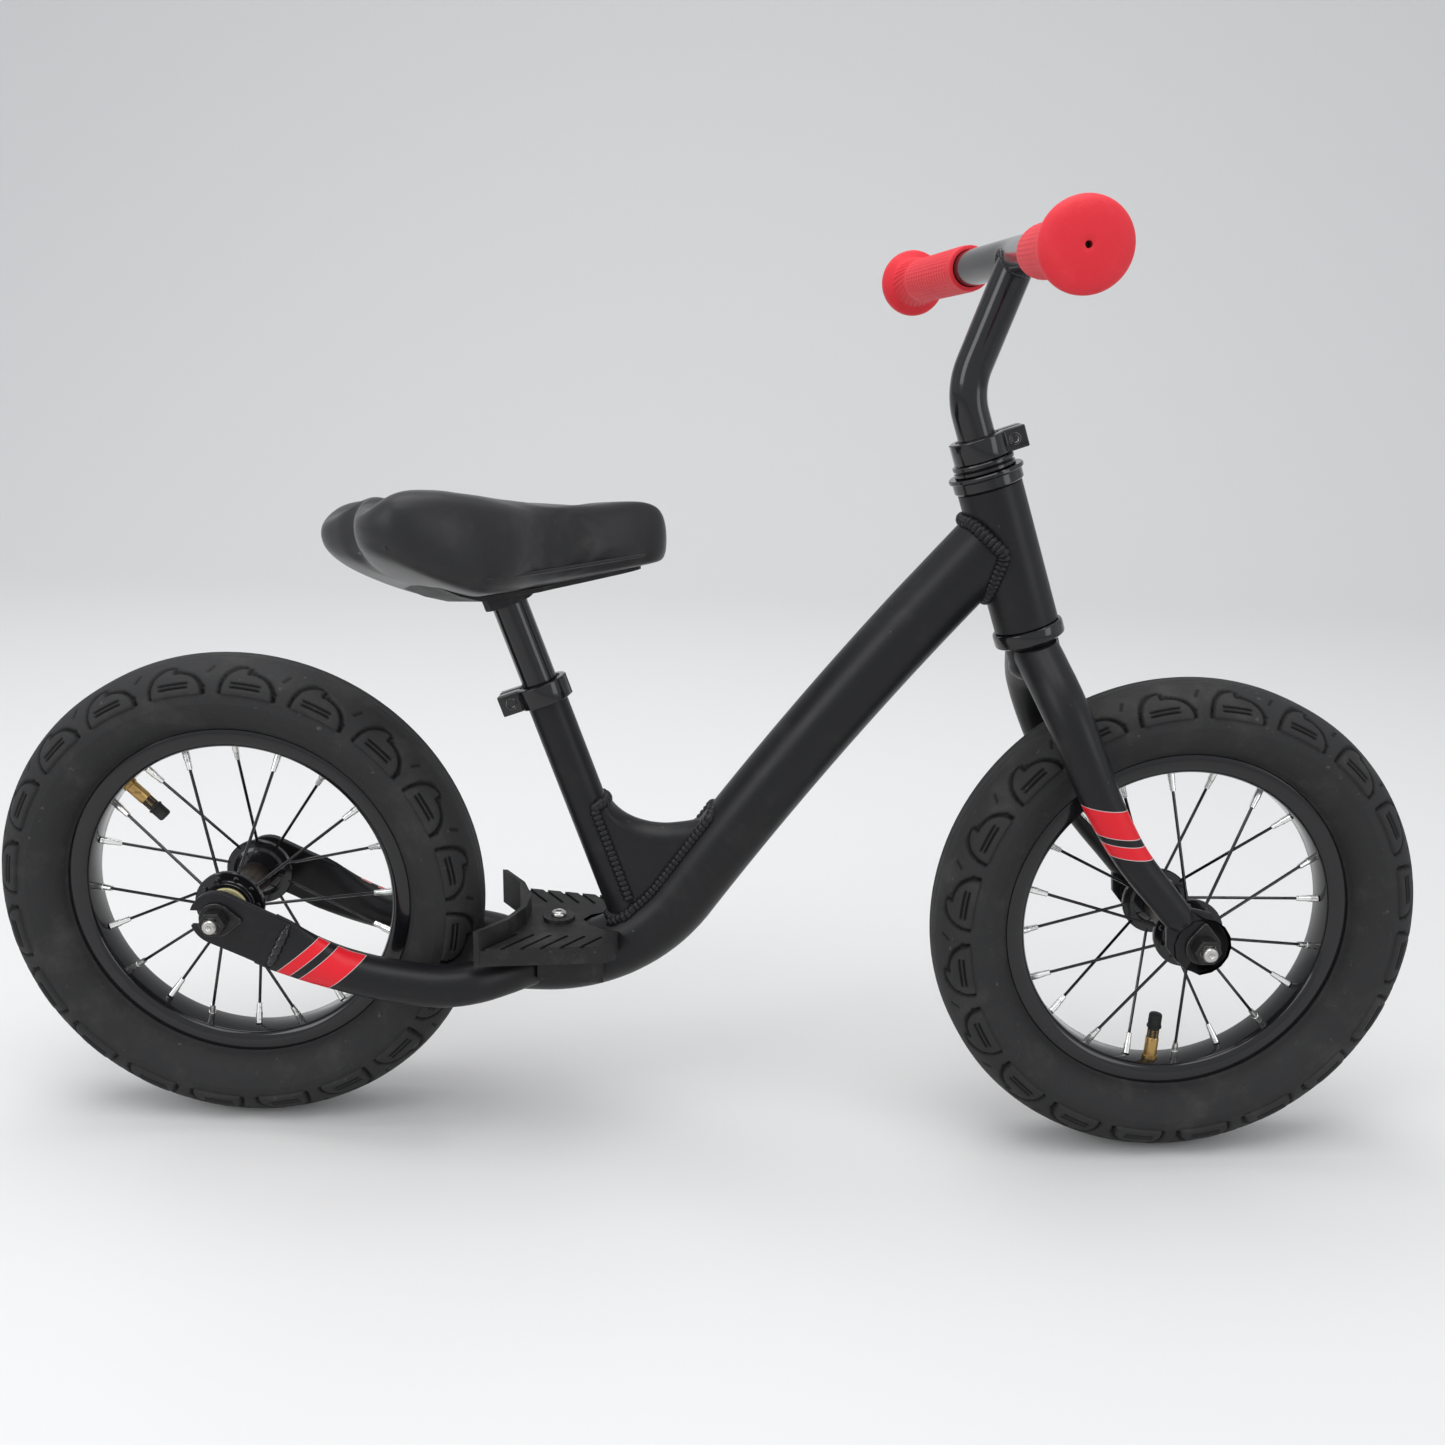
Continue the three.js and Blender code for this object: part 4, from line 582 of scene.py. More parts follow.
def mark_outside(obj, at, line, side):
    """Stores on each point its place in the side view, in millimetres, and how squarely it faces away from the
    wheel, from -1 to 1, for the stripes."""
    back = np.array((TO_METRES @ at).inverted())
    corners = coordinates(obj.data) @ back[:3, :3].T + back[:3, 3]
    seen = np.stack([corners[:, 0], corners[:, 2], np.zeros(len(corners))], axis=1).astype(np.float32)
    obj.data.attributes.new("side_view", "FLOAT_VECTOR", "POINT").data.foreach_set("vector", seen.ravel())
    middles = np.array([tuple(point) for point, _ in line])
    nearest = np.argmin(((corners[:, None, :] - middles[None]) ** 2).sum(2), axis=1)
    over = corners - middles[nearest]
    facing = side * over[:, 1] / np.maximum(np.linalg.norm(over, axis=1), 0.001)
    obj.data.attributes.new("outside", "FLOAT", "POINT").data.foreach_set("value", facing.astype(np.float32))


GLOSS_BLACK = finish_of(
    "gloss_black_paint", (0.007, 0.007, 0.008), (900, 0.035, 0.17, 0.12),
    [((0.05, 0.048, 0.045), 70, 0.45, 0.3, 0.16), ((0.2, 0.19, 0.175), 330, 0.31, 0.05, 0.4)],
    [("Coat Weight", 0.4), ("Coat Roughness", 0.06)])
STAY_PAINT = striped_paint("stay_paint", [(56, 76.2), (83.4, 92.3)], -0.86)
FOLD_SHARE = 0.055


def stay_ring(spot, share):
    return ring_place(*spot, [follow(STAY_HALVES, share, column) * STAY_RADIUS for column in (1, 2)])


for side_name, side in (("left", 1), ("right", -1)):
    line = smooth_line([(x, side * y, z) for x, y, z in STAY_LINE], 8)
    shares = shares_along(line)
    shape = drawn(draw_tube, [stay_ring(spot, share) for spot, share in zip(line, shares)], 40)
    stay = piece(f"frame_chainstay_{side_name}", shape, "frame", STAY_PAINT,
                 stands_for=[f"chainstay_{side_name}"])
    ring = stay_ring(line[int(np.argmin(np.abs(shares - FOLD_SHARE)))], FOLD_SHARE)
    turns = [math.radians(90 - side * 90 + angle) for angle in range(-66, 67, 6)]
    fold = drawn(draw_weld, [ring @ Vector((math.cos(turn) * 0.9, math.sin(turn), 0)) for turn in turns], 3.3,
                 looped=False, ripple=6)
    piece(f"frame_stay_fold_{side_name}", fold, "frame", GLOSS_BLACK)
    mark_outside(stay, WHOLE_BIKE, line, side)

# The rear dropouts: flat steel plates set into the crushed ends of the stays and welded there, each with a slot
# that opens backwards for the axle. Their edges are sheared and a little rounded by the paint.
WHEEL_CENTRE = Vector((0, 0, 157.5))
AXLE_SLOT = 5.05
DROPOUT_RADIUS = 17.6
DROPOUT_FACES = 47.5, 52.5


def arc(centre, radius, start, end, steps):
    """Points of an arc in the side view, from one angle to another, counted from forwards to up."""
    turns = [math.radians(start + (end - start) * i / steps) for i in range(steps + 1)]
    return [(centre[0] + radius * math.cos(turn), centre[1] + radius * math.sin(turn)) for turn in turns]


def soften(shape, edges, width):
    bmesh.ops.bevel(shape, geom=edges, offset=width, offset_type="OFFSET", segments=3, profile=0.5, affect="EDGES",
                    material=-1)


def draw_plate(shape, outline, low, high, soft):
    """Gives an outline of the side view its thickness across the bike, and softens its edges."""
    face = shape.faces.new([shape.verts.new((x, low, z)) for x, z in outline])
    grown = bmesh.ops.extrude_face_region(shape, geom=[face])["geom"]
    far = [g for g in grown if isinstance(g, bmesh.types.BMVert)]
    bmesh.ops.translate(shape, vec=(0, high - low, 0), verts=far)
    close_holes(shape)
    rims = {edge for corner in far for edge in corner.link_edges if all(end in far for end in edge.verts)}
    rims |= {edge for corner in far for edge in corner.link_edges if edge not in rims
             for edge in [other for end in edge.verts if end not in far for other in end.link_edges]
             if abs(edge.verts[0].co.y - edge.verts[1].co.y) < 0.01}
    soften(shape, list(rims), soft)


def dropout_outline(tongue, length, slot, end_half):
    """A round plate about (0, 0) with a tongue towards its tube and a slot for the axle."""
    mouth = math.degrees(math.asin(AXLE_SLOT / DROPOUT_RADIUS))
    ahead = Vector((math.cos(math.radians(tongue)), math.sin(math.radians(tongue))))
    aside = Vector((-ahead.y, ahead.x))
    far, near = ahead * length, ahead * length * 0.55
    points = [tuple(far + aside * end_half), tuple(near + aside * DROPOUT_RADIUS * 0.97)]
    points += arc((0, 0), DROPOUT_RADIUS, tongue + 90, slot - mouth, 14)
    points += arc((0, 0), AXLE_SLOT, slot - 90, slot - 270, 10)
    points += arc((0, 0), DROPOUT_RADIUS, slot + mouth, tongue + 270, 14)
    return points + [tuple(near - aside * DROPOUT_RADIUS * 0.97), tuple(far - aside * end_half)]


REAR_WHEEL = WHOLE_BIKE @ Matrix.Translation(WHEEL_CENTRE)
for side_name, side in (("left", 1), ("right", -1)):
    faces = sorted(side * face for face in DROPOUT_FACES)
    shape = drawn(draw_plate, dropout_outline(-24.1, 42, 180, 17.2), *faces, 0.8)
    piece(f"frame_rear_dropout_{side_name}", shape, "frame", SATIN_BLACK, REAR_WHEEL,
          [f"rear_dropout_{side_name}"])

# The headset: pressed steel cups above and below the head tube and a grooved top ring, all in gloss black paint
# with fine hairline scratches. They are turned, and stand on the steering axis.
STEER = HEAD @ Matrix.Rotation(math.radians(7), 4, "Z")
for name, body, place, profile in (
    ("upper_headset_cup", "frame", HEAD,
     [(14.1, 80), (16.7, 80), (16.7, 88.3), (20.2, 88.3), (21, 89.1), (21, 94.5), (22.1, 95), (22.6, 95.6),
      (22.6, 97.1), (22, 97.7), (18.4, 97.7), (18.4, 89.6), (14.1, 89.6), (14.1, 80)]),
    ("lower_headset_cup", "frame", HEAD,
     [(14.1, 8), (14.1, -1.6), (19, -1.6), (19, -9.4), (20.3, -9.4), (21.3, -8.7), (21.6, -7.6), (21.6, -2),
      (21.1, -0.8), (20.3, -0.3), (16.7, -0.3), (16.7, 8), (14.1, 8)]),
    ("headset_top_ring", "fork", STEER,
     [(13.1, 89.8), (14.6, 89.8), (14.6, 98), (17.7, 98), (18.5, 98.6), (18.5, 100.3), (17.5, 100.8), (17.2, 101.2),
      (17.5, 101.6), (18.5, 102.1), (18.5, 103.8), (17.7, 104.4), (13.1, 104.4), (13.1, 89.8)]),
):
    piece(f"{name}_turned", drawn(turned, profile, 72, "Z"), body, GLOSS_BLACK, place, [name], 24)

# The two split clamps, one round the steerer and one round the seat tube: a band with two square ears that a
# hexagon socket bolt pulls together. Cast and painted gloss black, with a blacked bolt rubbed bright on its edges.
def steel_finish(name, colour, roughness):
    return finish_of(name, colour, (1900, 0.09, roughness, 0.3),
                     [(tuple(0.28 * part for part in colour), 210, 0.46, 0.12, 0.7)], [("Metallic", 0.95)])


def make_worn_edges():
    """A mask of the rubbed edges of a piece, broken up by noise."""
    group, given, out = start_group("worn_edges", {"Radius": 0.0005, "Strength": 1}, {"Mask": "NodeSocketFloat"})
    rounded = add_node(group, "Bevel", {"Radius": given["Radius"]}, samples=6)
    flat = add_node(group, "NewGeometry", {})
    match = add_node(group, "VectorMath", {0: rounded["Normal"], 1: flat["Normal"]}, operation="DOT_PRODUCT")
    edge = add_node(group, "MapRange", {"Value": match["Value"], "From Min": 0.995, "From Max": 0.9,
                                        "To Max": given["Strength"]})
    rub = add_node(group, "TexNoise", {"Vector": given["Vector"], "Scale": 420})
    broken = add_node(group, "MapRange", {"Value": rub["Fac"], "From Min": 0.38, "From Max": 0.56})
    both = add_node(group, "Math", {0: edge["Result"], 1: broken["Result"]}, operation="MULTIPLY")
    group.links.new(both[0], out["Mask"])
    return group


WORN_EDGES = make_worn_edges()


def blacked_steel(name):
    """Steel blacked all over, with its edges rubbed bright again."""
    material = finish_of(name, (0.012, 0.012, 0.012), (1500, 0.12, 0.32, 0.25),
                         [((0.06, 0.052, 0.042), 120, 0.45, 0.25, 0.4)])
    tree = material.node_tree
    place = tree.nodes["Texture Coordinate"].outputs["Object"]
    worn = add_node(tree, "Group", {"Vector": place, "Radius": 0.0006}, node_tree=WORN_EDGES)["Mask"]
    lay_over(material, worn, (0.55, 0.53, 0.5))
    tree.links.new(worn, tree.nodes["Principled BSDF"].inputs["Metallic"])
    return material


BLACKED_STEEL = blacked_steel("blacked_steel")
ZINC = steel_finish("zinc_plated_steel", (0.5, 0.49, 0.47), 0.3)
DARK_STEEL = steel_finish("dark_oiled_steel", (0.075, 0.06, 0.048), 0.36)


def add_clamp(name, bolt_name, node, bolt_node, tube, place, body, head_side):
    outer, height, ear = tube + 4.1, 13.2, 8.5
    bolt_at = outer + 3.1
    tip = bolt_at + 7.6
    shape = bmesh.new()
    mouth = math.degrees(math.asin(1 / outer))
    knee = math.degrees(math.asin(ear / outer))
    for side in (1, -1):
        outline = [(tip, side), (tip, side * ear), (outer * math.cos(math.radians(knee)), side * ear)]
        outline += arc((0, 0), outer, side * knee, side * 180, 24)
        outline += arc((0, 0), tube + 0.3, side * 180, side * mouth, 30)
        face = shape.faces.new([shape.verts.new((x, y, 0)) for x, y in outline])
        grown = bmesh.ops.extrude_face_region(shape, geom=[face])["geom"]
        bmesh.ops.translate(shape, vec=(0, 0, height), verts=[g for g in grown if isinstance(g, bmesh.types.BMVert)])
    close_holes(shape)
    bmesh.ops.remove_doubles(shape, verts=shape.verts, dist=0.01)
    soften(shape, [edge for edge in shape.edges if edge.is_manifold and edge.calc_face_angle(0) > 0.9 and all(
        corner.co.x > outer * 0.7 or abs(corner.co.xy.length - outer) < 0.2 for corner in edge.verts)], 0.8)
    piece(name, shape, body, GLOSS_BLACK, place, [node])
    top = 8.8
    bolt = drawn(turned, [(0, top - 2), (1.9, top - 2), (1.9, top - 0.2), (2.2, top), (3.4, top), (3.9, top - 0.5),
                          (3.9, top - 4), (2.5, top - 4), (2.5, -ear), (0, -ear)], 36)
    turn = Matrix.Translation((bolt_at, 0, height / 2)) @ Matrix.Scale(head_side, 4, (0, 1, 0))
    bmesh.ops.transform(bolt, matrix=turn, verts=bolt.verts)
    piece(bolt_name, bolt, body, BLACKED_STEEL, place, [bolt_node])


add_clamp("steerer_collar_band", "steerer_collar_bolt_turned", "steerer_collar", "steerer_collar_bolt", 12.7,
          STEER @ Matrix.Translation((0, 0, 104.7)), "fork", -1)
add_clamp("seat_clamp_band", "seat_clamp_bolt_turned", "seat_clamp", "seat_clamp_bolt", SEAT_RADIUS,
          SEAT @ Matrix.Translation((0, 0, -12.9)) @ Matrix.Rotation(math.pi, 4, "Z"), "frame", 1)

# The seat post: a plain steel tube, painted gloss black, with its ends cut square. It slides in the seat tube and
# the seat clamp holds it.
shape = drawn(turned, [(9.4, -105), (11.1, -105), (11.1, 73.67), (9.4, 73.67), (9.4, -105)], 56, "Z")
piece("seat_post_tube", shape, "saddle", GLOSS_BLACK, SEAT, ["seat_post"])

# The saddle: a moulded plastic pan under a foam cushion in black vinyl, drawn in along a piped seam low on its
# side. The cushion is blown up a little as cloth and held back, which gives the cover its tight soft crown.
def plastic(name, colour, scale):
    return finish_of(name, colour, (scale, 0.35, 0.55, 0.2),
                     [((0.085, 0.08, 0.072), 42, 0.52, 0.28, 0.4), ((0.17, 0.16, 0.14), 230, 0.34, 0.07, 0.5)])


VINYL = finish_of("black_vinyl", (0.017, 0.017, 0.018), (1300, 0.3, 0.4, 0.2),
                  [((0.075, 0.072, 0.068), 34, 0.5, 0.3, 0.3)], [("Sheen Weight", 0.12), ("Sheen Roughness", 0.4)])
SADDLE = (SEAT @ Matrix.Translation((0, 0, 71.97)) @ Matrix.Rotation(math.radians(32), 4, "Z")
          @ Matrix.Rotation(SEAT_TILT, 4, "Y"))
SADDLE_TAIL, SADDLE_NOSE, SADDLE_HALF, SADDLE_CROWN = 96.5, 114, 70, 47
SADDLE_BELLY = -28
SEAM_PLACE = 24 / 66
MOST_BULGE = 0.0022
SADDLE_SIDE = [(-0.88, 0), (-0.96, 0.29), (-1, 0.6), (-0.93, 0.86), (-0.78, 1), (-0.43, 0.98), (-0.12, 0.8),
               (0.16, 0.51), (0.44, 0.35), (0.75, 0.29), (0.93, 0.2), (1, 0)]
SADDLE_TOP = [(-1, 0.8), (-0.87, 0.98), (-0.6, 1), (-0.3, 0.95), (0, 0.88), (0.4, 0.87), (0.75, 0.93), (0.93, 0.87),
              (1, 0.7)]
SADDLE_SKIN = [(1, 0.02), (0.6, 0), (0.3, 0), (0.14, 0.04), (0.05, 0.16), (0.01, 0.34), (0, 0.55), (0.02, 0.76),
               (0.08, 0.91), (0.22, 0.99), (0.6, 1), (1, 1)]


def saddle_rim():
    """The saddle's outline from above, once round from the tail, its points evenly spaced."""
    side = [(x * (SADDLE_TAIL if x < 0 else SADDLE_NOSE), y * SADDLE_HALF, 0) for x, y in SADDLE_SIDE]
    mirrored = [(x, -y, 0) for x, y, _ in side]
    through = [mirrored[2], mirrored[1], *side, *mirrored[-2:-5:-1]]
    half = [point for point, _ in smooth_line(through, 12)][24:-36]
    half = evenly(half, sum((b - a).length for a, b in zip(half, half[1:])) / 104, False)
    return half + [Vector((point.x, -point.y, 0)) for point in half[-2::-1]]


SADDLE_RIM = saddle_rim()
SMOOTH_TOP = np.array([tuple(point) for point, _ in smooth_line([(*row, 0) for row in SADDLE_TOP], 8)])
SMOOTH_SKIN = [point for point, _ in smooth_line([(*row, 0) for row in SADDLE_SKIN], 6)]


def cushion_skin(around, up):
    """From the line under the saddle outwards, round its lower edge, up the side and in to the line along its top."""
    rim = SADDLE_RIM[round(around * (len(SADDLE_RIM) - 1))]
    inset, lift, _ = SMOOTH_SKIN[round(up * (len(SMOOTH_SKIN) - 1))]
    share = rim.x / (SADDLE_TAIL if rim.x < 0 else SADDLE_NOSE)
    along = rim.x + (min(max(rim.x, -0.45 * SADDLE_TAIL), 0.8 * SADDLE_NOSE) - rim.x) * inset
    behind = SADDLE_BELLY - along
    if behind > 0:
        foot = 28 * (behind / (SADDLE_TAIL + SADDLE_BELLY)) ** 1.3 - 13
    else:
        foot = 20 * (-behind / (SADDLE_NOSE - SADDLE_BELLY)) ** 1.05 - 13
    top = SADDLE_CROWN * float(np.interp(share, SMOOTH_TOP[:, 0], SMOOTH_TOP[:, 1]))
    trough = 8 * float(np.interp(inset, (0.28, 0.85), (0, 1))) * min(1, max(0, -2 * share)) * (up > 0.5)
    trough *= 1 - 0.5 * max(0, -share * 3 - 2)
    return Vector((along, rim.y * (1 - inset), foot + (top - foot) * lift - trough))


def add_cushion():
    shape = drawn(draw_skin, len(SADDLE_RIM) - 1, len(SMOOTH_SKIN) - 1, cushion_skin)
    bmesh.ops.remove_doubles(shape, verts=shape.verts, dist=0.05)
    cushion = place_piece("saddle_cushion_cover", finished_mesh("cushion", shape, 180), "saddle", VINYL,
                          SADDLE, ["saddle_cushion"])
    before = coordinates(cushion.data)
    cloth = cushion.modifiers.new("cover", "CLOTH")
    cloth.settings.use_pressure = True
    cloth.settings.uniform_pressure_force = 3
    cloth.settings.effector_weights.gravity = 0
    cloth.settings.tension_stiffness = 40
    for step in range(1, 15):
        bpy.context.scene.frame_set(step)
    settle(cushion)
    bpy.context.scene.frame_set(1)
    moved = coordinates(cushion.data) - before
    reach = np.linalg.norm(moved, axis=1, keepdims=True)
    after = before + moved * np.minimum(1, MOST_BULGE / np.maximum(reach, 1e-9))
    cushion.data.vertices.foreach_set("co", after.astype(np.float32).ravel())
    finer = cushion.modifiers.new("finer", "SUBSURF")
    finer.levels = finer.render_levels = 1
    settle(cushion)
    steps = len(SADDLE_RIM) - 1
    seam = [TO_METRES @ SADDLE @ cushion_skin(i / steps, SEAM_PLACE) for i in range(steps)]
    nearest = [int(np.argmin(((before - np.array(point)) ** 2).sum(1))) for point in seam]
    back = (TO_METRES @ SADDLE).inverted()
    shape = drawn(draw_weld, [back @ Vector(after[k]) for k in nearest], 1.15, ripple=400)
    piece("saddle_cushion_piping", shape, "saddle", VINYL, SADDLE)


def settle(obj):
    """Makes what the modifiers do part of the mesh."""
    made = bpy.data.meshes.new_from_object(obj.evaluated_get(bpy.context.evaluated_depsgraph_get()))
    obj.modifiers.clear()
    obj.data = made


def add_moulding(node, body, finish, width, reshape=None):
    """A moulding that keeps its CAD shape, its loose triangles merged and its edges rounded by a width."""
    shape = bmesh.new()
    shape.from_mesh(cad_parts[node].data)
    bmesh.ops.transform(shape, matrix=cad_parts[node].matrix_world, verts=shape.verts)
    bmesh.ops.remove_doubles(shape, verts=shape.verts, dist=0.00002)
    bmesh.ops.dissolve_limit(shape, angle_limit=math.radians(1.5), verts=shape.verts, edges=shape.edges)
    if reshape:
        reshape(shape)
    mesh = bpy.data.meshes.new(f"{node}_moulding")
    shape.to_mesh(mesh)
    shape.free()
    mesh.materials.append(finish)
    moulding = bpy.data.objects.new(f"{node}_moulding", mesh)
    bpy.context.scene.collection.objects.link(moulding)
    rounded = moulding.modifiers.new("rounded", "BEVEL")
    rounded.width = width
    rounded.segments = 3
    rounded.limit_method = "ANGLE"
    rounded.angle_limit = math.radians(34)
    rounded.harden_normals = True
    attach(moulding, body)
    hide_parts(node)


def draw_in(shape):
    """Draws the pan's rim in under the cushion. The clamp in its middle stays as it is."""
    bmesh.ops.transform(shape, matrix=(TO_METRES @ SADDLE).inverted(), verts=shape.verts)
    long = [corner.co.x for corner in shape.verts]
    middle = (min(long) + max(long)) / 2
    for corner in shape.verts:
        if abs(corner.co.x) > 24 or abs(corner.co.y) > 22:
            corner.co.x = middle + (corner.co.x - middle) * 0.9
            corner.co.y *= 0.84
    bmesh.ops.transform(shape, matrix=TO_METRES @ SADDLE, verts=shape.verts)


add_cushion()
PAN_PLASTIC = plastic("pan_plastic", (0.011, 0.011, 0.012), 700)
add_moulding("saddle_pan", "saddle", PAN_PLASTIC, 0.0009, draw_in)

# The footrest: moulded black plastic over the main tube, held by one button-head bolt. It is the CAD shape with
# all its edges rounded, since a moulding has no sharp corner, and it is dusty and scuffed in patches.
MOULDED = plastic("moulded_black_plastic", (0.014, 0.014, 0.0145), 1100)
add_moulding("footrest", "frame", MOULDED, 0.0007)
shape = drawn(turned, [(0, 130), (2.9, 130), (2.9, 145.9), (5, 145.9), (5, 146.6), (4.6, 147.6), (3.6, 148.4),
                       (2.3, 148.7), (1.9, 148.5), (1.9, 146.9), (0, 146.9)], 32, "Z")
bmesh.ops.translate(shape, vec=(206, 0, 0), verts=shape.verts)
piece("footrest_bolt_turned", shape, "frame", ZINC, stands_for=["footrest_bolt"])

# The fork: two tapered legs curve out of the neck, run down either side of the tyre and end in slotted dropouts.
# Satin black, with a wide and a narrow red stripe across the outside of each leg.
FORK_LINE = [(0, 5, -15), (0, 12, -19.3), (0, 21, -26.8), (0.3, 33.5, -39.4), (1.4, 43, -57.7), (3.1, 47.5, -79.8),
             (6.2, 49.5, -109.3), (14.1, 50, -144.8), (26.6, 50, -177.3), (34.5, 50, -197)]
FORK_TAPER = [(0, 1), (0.2, 0.98), (0.4, 0.9), (0.7, 0.74), (0.97, 0.67), (1, 0.5)]
FORK_RADIUS = 14.3
FORK_PAINT = striped_paint("fork_paint", [(-124.1, -106.2), (-137.5, -129.4)], 0.427)
AXLE_FORWARD, AXLE_DOWN = 42, -215.2
for side_name, side in (("left", 1), ("right", -1)):
    line = smooth_line([(x, side * y, z) for x, y, z in FORK_LINE], 8)
    places = [ring_place(*spot, (FORK_RADIUS * follow(FORK_TAPER, share, 1),) * 2, (1, 0, 0))
              for spot, share in zip(line, shares_along(line))]
    shape = drawn(draw_tube, places, 48)
    bmesh.ops.bisect_plane(shape, geom=shape.verts[:] + shape.edges[:] + shape.faces[:], plane_co=(0, 0, -11.5),
                           plane_no=(0, 0, 1), clear_outer=True)
    close_holes(shape)
    leg = piece(f"fork_leg_{side_name}", shape, "fork", FORK_PAINT, STEER)
    mark_outside(leg, STEER, line, side)
shape = drawn(turned, [(9.6, 117.9), (12.2, 117.9), (12.7, 117.4), (12.7, -9.2), (13.6, -9.8), (15.9, -9.8),
                       (16.5, -10.4), (16.3, -20), (16.9, -22.2), (17.2, -24.4), (16.4, -27.4), (13.4, -31), (9.6, -31),
                       (9.6, 117.9)], 64, "Z")
for side in (1, -1):
    outline = [(x + AXLE_FORWARD, z + AXLE_DOWN) for x, z in dropout_outline(112.4, 25, -90, 9)]
    draw_plate(shape, outline, *sorted(side * face for face in DROPOUT_FACES), 0.8)
piece("fork_neck_and_dropouts", shape, "fork", SATIN_BLACK, STEER, ["fork"])

# The handlebar: one gloss black tube bent forwards out of the steerer, with a crossbar welded over its end whose
# arms sweep back a little. The grips are moulded red rubber with a ribbed neck and a mushroom end.
JOINT = Vector((50.86, 0, 209.73))
BAR_SWEEP = math.radians(7)
BAR_RADII = (11.1, 11.1)
BAR_HALF = 193.5
STEM_FOOT, STEM_BEND, STEM_RADIUS = 37.9, 130.9, 45
stem = [(Vector((0, 0, z)), Vector((0, 0, 1))) for z in (STEM_FOOT, 90, STEM_BEND)]
for i in range(1, 19):
    turn = math.radians(39) * i / 18
    along = Vector((math.sin(turn), 0, math.cos(turn)))
    stem.append((Vector((STEM_RADIUS * (1 - math.cos(turn)), 0, STEM_BEND + STEM_RADIUS * math.sin(turn))), along))
stem.append((JOINT, along))
arm_end = [Vector((-math.sin(BAR_SWEEP) * BAR_HALF, side * math.cos(BAR_SWEEP) * BAR_HALF, 0)) for side in (-1, 1)]
arm_bend = [end * (14 / BAR_HALF) for end in arm_end]
middle = interpolate_bezier(arm_bend[0], arm_bend[0] * 0.4, arm_bend[1] * 0.4, arm_bend[1], 9)
line = [JOINT + point for point in [arm_end[0], *middle, arm_end[1]]]
places = [ring_place(point, line[min(i + 1, len(line) - 1)] - line[max(i - 1, 0)], BAR_RADII, (0, 0, 1))
          for i, point in enumerate(line)]
piece("handlebar_crossbar", drawn(draw_tube, places, 48), "handlebar", GLOSS_BLACK, STEER)
shape = drawn(draw_tube, [ring_place(*spot, BAR_RADII) for spot in stem], 48)
piece("handlebar_stem", shape, "handlebar", GLOSS_BLACK, STEER, ["handlebar"])
across = along.cross(Vector((0, 1, 0)))
seam = []
for i in range(72):
    turn = 2 * math.pi * i / 72
    offset = (Vector((0, 1, 0)) * math.cos(turn) + across * math.sin(turn)) * 11.3
    seam.append(JOINT + offset - along * math.sqrt(max(0, 11.5**2 - (offset.dot(across)) ** 2)))
piece("handlebar_weld", drawn(draw_weld, seam, 1.9), "handlebar", GLOSS_BLACK, STEER)
GRIP_RUBBER = finish_of(
    "red_grip_rubber", (0.62, 0.022, 0.034), (800, 0.3, 0.55, 0.22),
    [((0.8, 0.075, 0.09), 40, 0.55, 0.4, 0.5), ((0.34, 0.012, 0.02), 95, 0.42, 0.2, 0.4)],
    [("Sheen Weight", 0.06), ("Sheen Roughness", 0.5)])


def raise_ribs(at):
    """Ribs that slant round the neck, and a grid of small raised pads down the body of the grip."""
    radius, turn, along = np.hypot(at[:, 0], at[:, 2]), np.arctan2(at[:, 0], at[:, 2]), np.abs(at[:, 1])
    rib = 0.5 * np.clip(np.minimum(along - 171, 187.2 - along) / 2, 0, 1) * np.cos(30 * turn + along * 0.55)
    pad = np.clip(3.2 * np.cos(18 * turn) ** 2 * np.cos(math.pi * along / 5) ** 2, 0, 1)
    pad *= 0.45 * np.clip(np.minimum(along - 84, 167 - along) / 2, 0, 1)
    lift = np.where((radius > 13.7) & (radius < 18.5), rib + pad, 0)
    at[:, 0] *= 1 + lift / radius
    at[:, 2] *= 1 + lift / radius
    return at


for side_name, side in (("left", 1), ("right", -1)):
    rows = [(11.5, 80), (13.4, 80), (14, 80.6)]
    rows += [(14, 80.6 + 0.94 * i) for i in range(1, 97)]
    rows += [(14 + 2.4 * i / 18, 171 + 0.9 * i) for i in range(1, 19)]
    rows += [(17.6, 188.2), (20.6, 189.6), (21.7, 191), (22.1, 192.8), (22.1, 194.6), (21.7, 196.4), (20.6, 198),
             (18.6, 199.4), (15, 200.4), (10, 201.2), (5, 201.65), (2.3, 201.78), (1.75, 201.4), (1.75, 193.8),
             (11.5, 193.8), (11.5, 80)]
    place = STEER @ Matrix.Translation(JOINT) @ Matrix.Rotation(side * BAR_SWEEP, 4, "Z")
    piece(f"grip_{side_name}_moulding", drawn(turned, [(radius, side * place) for radius, place in rows], 144),
          "handlebar", GRIP_RUBBER, place, [f"grip_{side_name}"], 50, raise_ribs)

# The tyres: matte black rubber with 20 shark-fin blocks down each shoulder. Each block has a flat foot with a
# ledge under it, a groove round its back, two slits and a hooked notch, all as relief in the turned mesh.
FRONT_WHEEL = STEER @ Matrix.Translation((AXLE_FORWARD, 0, AXLE_DOWN)) @ Matrix.Rotation(HEAD_TILT, 4, "Y")
BLOCKS = 20
PITCH = 43
TYRE_OUTSIDE = [(112.1, 12.4), (113.2, 16.2), (116.5, 21.4), (121.5, 25.4), (127, 27.8), (132.5, 28.7), (138.2, 28.1),
                (144, 25.9), (149.3, 22), (153.2, 16.6), (155.8, 10.4), (157.1, 5), (157.5, 0)]
BLOCK_FOOT = 138.6
LARGEST_RADIUS, LARGEST_HALF_WIDTH, SHRINK = 156.85, 28.98, 0.9995
